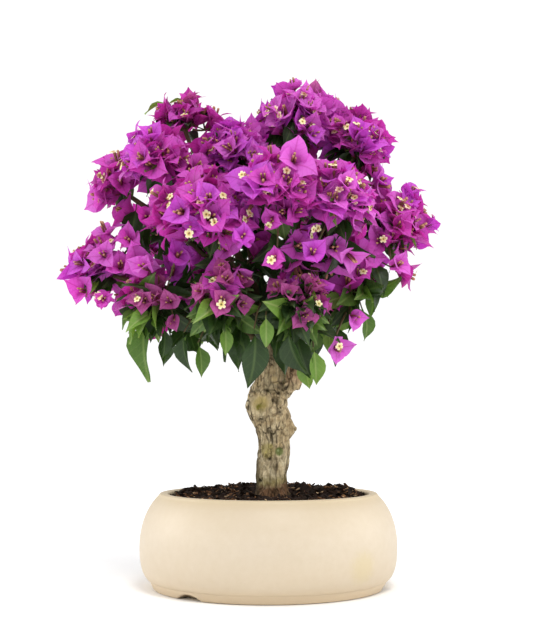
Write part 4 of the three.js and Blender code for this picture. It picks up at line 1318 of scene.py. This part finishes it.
def make_bowl(finish):
    """The bowl turned round its axis, from the middle of its underside over the rim to the middle of its floor."""
    profile = [(r, 0.0) for r in (1, 60, 100, 103, 104, 105, 106, 107, 110, 113, 114.6)]
    profile += [
        (115.0, 0.4), (115.3, 1.0), (115.8, 2.5), (116.5, 4.0), (117.1, 5.2), (117.6, 6.4), (117.95, 7.3), (118.1, 7.9),
        (118.0, 8.5),
    ]
    heights = [8.9, 9.4, 10, 11, 12.5, 14.5, 17, 20, 23.5, 27.5, 32, *range(37, 73, 5), 76, 80, 83.5, 86.5, 89, 90.6]
    profile += [(bowl_radius(z), z) for z in heights]
    rim_foot = BOWL_HEIGHT - RIM_ROUND
    top = bowl_radius(rim_foot)
    for i in range(1, 8):
        a = math.pi / 2 * i / 8
        profile.append((top - RIM_ROUND * (1 - math.cos(a)), rim_foot + RIM_ROUND * math.sin(a)))
    profile += [(top - RIM_ROUND - 1.5, BOWL_HEIGHT), (RIM_RADIUS + RIM_ROUND, BOWL_HEIGHT)]
    for i in range(1, 7):
        a = math.pi / 2 * i / 6
        profile.append((RIM_RADIUS + RIM_ROUND * (1 - math.sin(a)), BOWL_HEIGHT - RIM_ROUND * (1 - math.cos(a))))
    profile += [(RIM_RADIUS, SOIL_EDGE)] + [(bowl_radius(z) - WALL, z) for z in (80, 70, 55, BELLY_HEIGHT, 30, 22)]
    profile += [(bowl_radius(FLOOR) - WALL - 9, FLOOR), (60, FLOOR), (1, FLOOR)]

    def ring(r, z):
        def at(angle):
            high = notch_lift(angle, r, z) if z < NOTCH_HEIGHT else z
            return (r * math.cos(angle), r * math.sin(angle), high)

        return at

    rings = [ring(0, 0)] + [ring(r, z) for r, z in profile] + [ring(0, FLOOR)]
    bowl = smooth_faces(new_mesh("bowl_body", *lathe(rings, BOWL_SIDES)))
    bowl.data.materials.append(finish)
    return bowl


def ground(x, y):
    """Height of the soil's surface."""
    r = math.hypot(x, y)
    mound = sum(h * math.exp(-((math.hypot(x - mx, y - my) / s) ** 2)) for mx, my, h, s in MOUNDS)
    level = SOIL_EDGE + 1 + mound
    pad = smooth((r - SOIL_PAD_RADIUS + 6) / 14)
    level = SOIL_LEVEL * (1 - pad) + level * pad
    p = Vector((x, y, 0))
    rough = 2.2 * noise.noise(p * 0.11) + 1.3 * noise.noise(p * 0.27)
    rough = rough + 1.1 * abs(noise.noise(p * 0.55)) + 0.5 * noise.noise(p * 1.2)
    edge = smooth((RIM_RADIUS - r) / 6)
    return level + rough * (0.35 + 0.65 * edge) * (0.3 + 0.7 * pad) - 1.2 * (1 - edge)


def make_soil(finish):
    """Loose bark compost filling the bowl, heaped behind and beside the trunk."""
    reach = RIM_RADIUS - 0.3
    floor = FLOOR + 0.3

    def ring(r, z=None):
        def at(angle):
            x, y = r * math.cos(angle), r * math.sin(angle)
            return (x, y, z or ground(x, y))

        return at

    inside = [(60, floor), (bowl_radius(FLOOR) - WALL - 9.3, floor)]
    inside += [(bowl_radius(z) - WALL - 0.3, z) for z in (22, 30, BELLY_HEIGHT, 55, 70, 78)] + [(reach, 84)]
    top = [ring(reach * (1 - i / 66)) for i in range(66)]
    rings = [ring(0, floor)] + [ring(r, z) for r, z in inside] + top + [ring(0)]
    soil = new_mesh("soil_bed", *lathe(rings, SOIL_SIDES))
    soil.data.materials.append(finish)
    return smooth_faces(soil)


def chip_shapes():
    """Rough flakes of composted bark."""
    draw, made = seeded(3313), []
    for i in range(CHIP_KINDS):
        bm = bmesh.new()
        bmesh.ops.create_icosphere(bm, subdivisions=1, radius=1)
        length, width, thick = 2.0 + 3.2 * draw(), 1.3 + 1.3 * draw(), 0.5 + 0.7 * draw()
        for v in bm.verts:
            v.co = Vector((v.co.x * length, v.co.y * width, v.co.z * thick)) * (0.75 + 0.5 * draw()) * MM
        mesh = bpy.data.meshes.new(f"chip_{i:02d}")
        bm.to_mesh(mesh)
        bm.free()
        made.append(placed(mesh.name, mesh))
    return shape_set("chip_shapes", made)


def open_ground():
    """The soil's surface alone, for the bits that lie on it."""
    points, rings, sides, inner, outer = [], 26, 90, 21, RIM_RADIUS - 3.5
    for i in range(rings):
        r = inner + (outer - inner) * i / (rings - 1)
        for k in range(sides):
            a = TURN * k / sides
            x, y = r * math.cos(a) + 3 * (1 - i / rings), r * math.sin(a)
            points.append((x, y, ground(x, y) + 0.2))
    faces = [(a, d, c, b) for a, b, c, d in bands(rings, sides)]
    return new_mesh("open_ground", points, faces)


# ---------------------------------------------------------------- camera, light and floor
CAMERA_PLACE, SENSOR, LENS, SHIFT = (0.0065, -1.218, 0.184), 36, 69.7, 0.139
ROOM_LIGHT, ROOM_SEEN = 0.8, 1.05
FLOOR_REACH, FLOOR_DROP = 6000, 0.5
# Lights: name, place, what they face, size and power
LIGHTS = [
    ("key", (0.35, -1.3, 2.0), (0, 0, 0.35), 0.8, 24),
    ("rim_left", (-1.6, 0.2, 0.7), (0, 0, 0.2), 0.9, 11),
    ("rim_right", (1.6, 0.2, 0.7), (0, 0, 0.2), 0.9, 8),
]


def make_camera():
    data = bpy.data.cameras.new("camera")
    data.sensor_width, data.lens, data.shift_y = SENSOR, LENS, SHIFT
    camera = placed("camera", data)
    camera.location = CAMERA_PLACE
    camera.rotation_euler = (math.radians(90), 0, 0)
    bpy.context.scene.camera = camera


def soft_light(name, place, aim, size, energy):
    data = bpy.data.lights.new(name, "AREA")
    data.shape, data.size, data.energy = "DISK", size, energy
    lamp = placed(name, data)
    lamp.location = place
    lamp.rotation_euler = (Vector(aim) - Vector(place)).to_track_quat("-Z", "Y").to_euler()


def make_studio():
    """A white room with a key light in front, a light to each side, and a floor that brightens away from the bowl."""
    world = bpy.data.worlds.new("white_room")
    bpy.context.scene.world = world
    world.use_nodes = True
    tree, sky = Tree(world.node_tree), world.node_tree.nodes["Background"].inputs
    tree.link((1, 1, 1, 1), sky["Color"])
    seen = tree.add("ShaderNodeLightPath")["Is Camera Ray"]
    tree.link(tree.ramp(seen, 0.0, 1.0, ROOM_LIGHT, ROOM_SEEN), sky["Strength"])
    for light in LIGHTS:
        soft_light(*light)
    corners = [(x * FLOOR_REACH, y * FLOOR_REACH, -FLOOR_DROP) for x, y in ((-1, -1), (1, -1), (1, 1), (-1, 1))]
    floor, finish = new_mesh("floor", corners, [(0, 1, 2, 3)]), Finish("white_floor")
    away = finish.vector("LENGTH", finish.place())
    finish.link(finish.ramp(away, 0.16, 0.6, 0.0, 0.3), finish.shader.inputs["Emission Strength"])
    floor.data.materials.append(finish.wear((0.92, 0.92, 0.92, 1), 1.0, 0.0, Emission_Color=(1, 1, 1, 1)))
    bpy.context.scene.view_settings.view_transform = "Standard"


# ---------------------------------------------------------------- assembly
def finish_piece(piece, slot, *nodes):
    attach(piece, BODY)
    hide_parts(*nodes)


masses = [
    {"name": name, "centre": Vector((x, y, z)), "reach": reach, "seed": 1009 + 7919 * i}
    for i, (name, x, y, z, reach) in enumerate(MASSES)
]
mass_nodes = [m["name"] for m in masses]
bough_nodes = [m["name"] + "_bough" for m in masses]

make_camera()
make_studio()

bark = bark_finish()
finish_piece(make_bowl(glaze_finish()), "glaze", "bowl")
finish_piece(make_soil(compost_finish("damp_compost", (12, 7, 3), (44, 28, 17))), "soil", "soil")
chips = chip_shapes()
for name, density, small, large, seed, dark, light in (
    ("bark_chips_dark", 52000.0, 0.5, 1.7, 5, (14, 7, 3), (50, 31, 18)),
    ("bark_chips_brown", 14000.0, 0.45, 1.6, 8, (80, 50, 30), (160, 118, 80)),
    ("bark_chips_tan", 4500.0, 0.35, 1.2, 21, (160, 126, 88), (224, 198, 158)),
):
    keys = {
        "Bits": chips, "Density": density, "Smallest": small, "Largest": large, "Seed": seed, "Tilt": 0.7,
        "Finish": compost_finish(name + "_skin", dark, light),
    }
    finish_piece(grown(name, open_ground(), SCATTER, keys), "soil", "soil")
finish_piece(make_wood(bark), "bark", "trunk", "left_limb", "right_limb")

crown = Crown()
for mass in masses:
    grow_mass(crown, mass, masses)
    grow_inside(crown, mass, seeded(mass["seed"] + 5))
stand_alone(crown, masses)
twig_skin = twig_finish()
finish_piece(make_runs("boughs", crown.boughs, twig_skin, 12), "bark", *bough_nodes)
finish_piece(make_runs("twigs", crown.twigs, twig_skin, 6), "bark", *mass_nodes)

BRACT_TINTS = {
    # body, vein, rib and the light that comes through
    "magenta": ((222, 96, 214), (196, 62, 182), (158, 30, 112), (230, 56, 186)),
    "violet": ((216, 98, 226), (190, 66, 198), (156, 36, 130), (222, 62, 206)),
    "deep": ((206, 74, 194), (180, 46, 158), (142, 24, 98), (212, 42, 160)),
    "pale": ((230, 120, 226), (208, 86, 204), (172, 46, 138), (236, 88, 210)),
    "young": ((200, 98, 172), (172, 66, 136), (140, 50, 98), (200, 74, 146)),
}
LEAF_TINTS = {
    "mid": ((80, 112, 46), (54, 82, 30), (132, 154, 84), (112, 164, 40)),
    "dark": ((40, 62, 28), (26, 44, 20), (80, 102, 54), (64, 102, 28)),
    "light": ((112, 148, 62), (84, 120, 46), (158, 178, 104), (154, 196, 60)),
}
bract_set, leaf_set = bract_shapes(), leaf_shapes()
for tint, colours in BRACT_TINTS.items():
    skin = bract_finish("bract_" + tint, *colours)
    finish_piece(sow("bracts_" + tint, crown.bracts[tint], bract_set, skin), "bracts", *mass_nodes)
for tint, colours in LEAF_TINTS.items():
    skin = leaf_finish("leaf_" + tint, *colours)
    finish_piece(sow("leaves_" + tint, crown.leaves[tint], leaf_set, skin), "leaves", *mass_nodes)
finish_piece(sow("flower_tubes", crown.tubes, tube_shapes(), tube_finish()), "bracts", *mass_nodes)
finish_piece(sow("flower_stars", crown.stars, star_shapes(), star_finish()), "bracts", *mass_nodes)

for shapes in SHAPE_SETS:
    for thing in list(shapes.objects):
        bpy.data.objects.remove(thing)
    bpy.data.collections.remove(shapes)
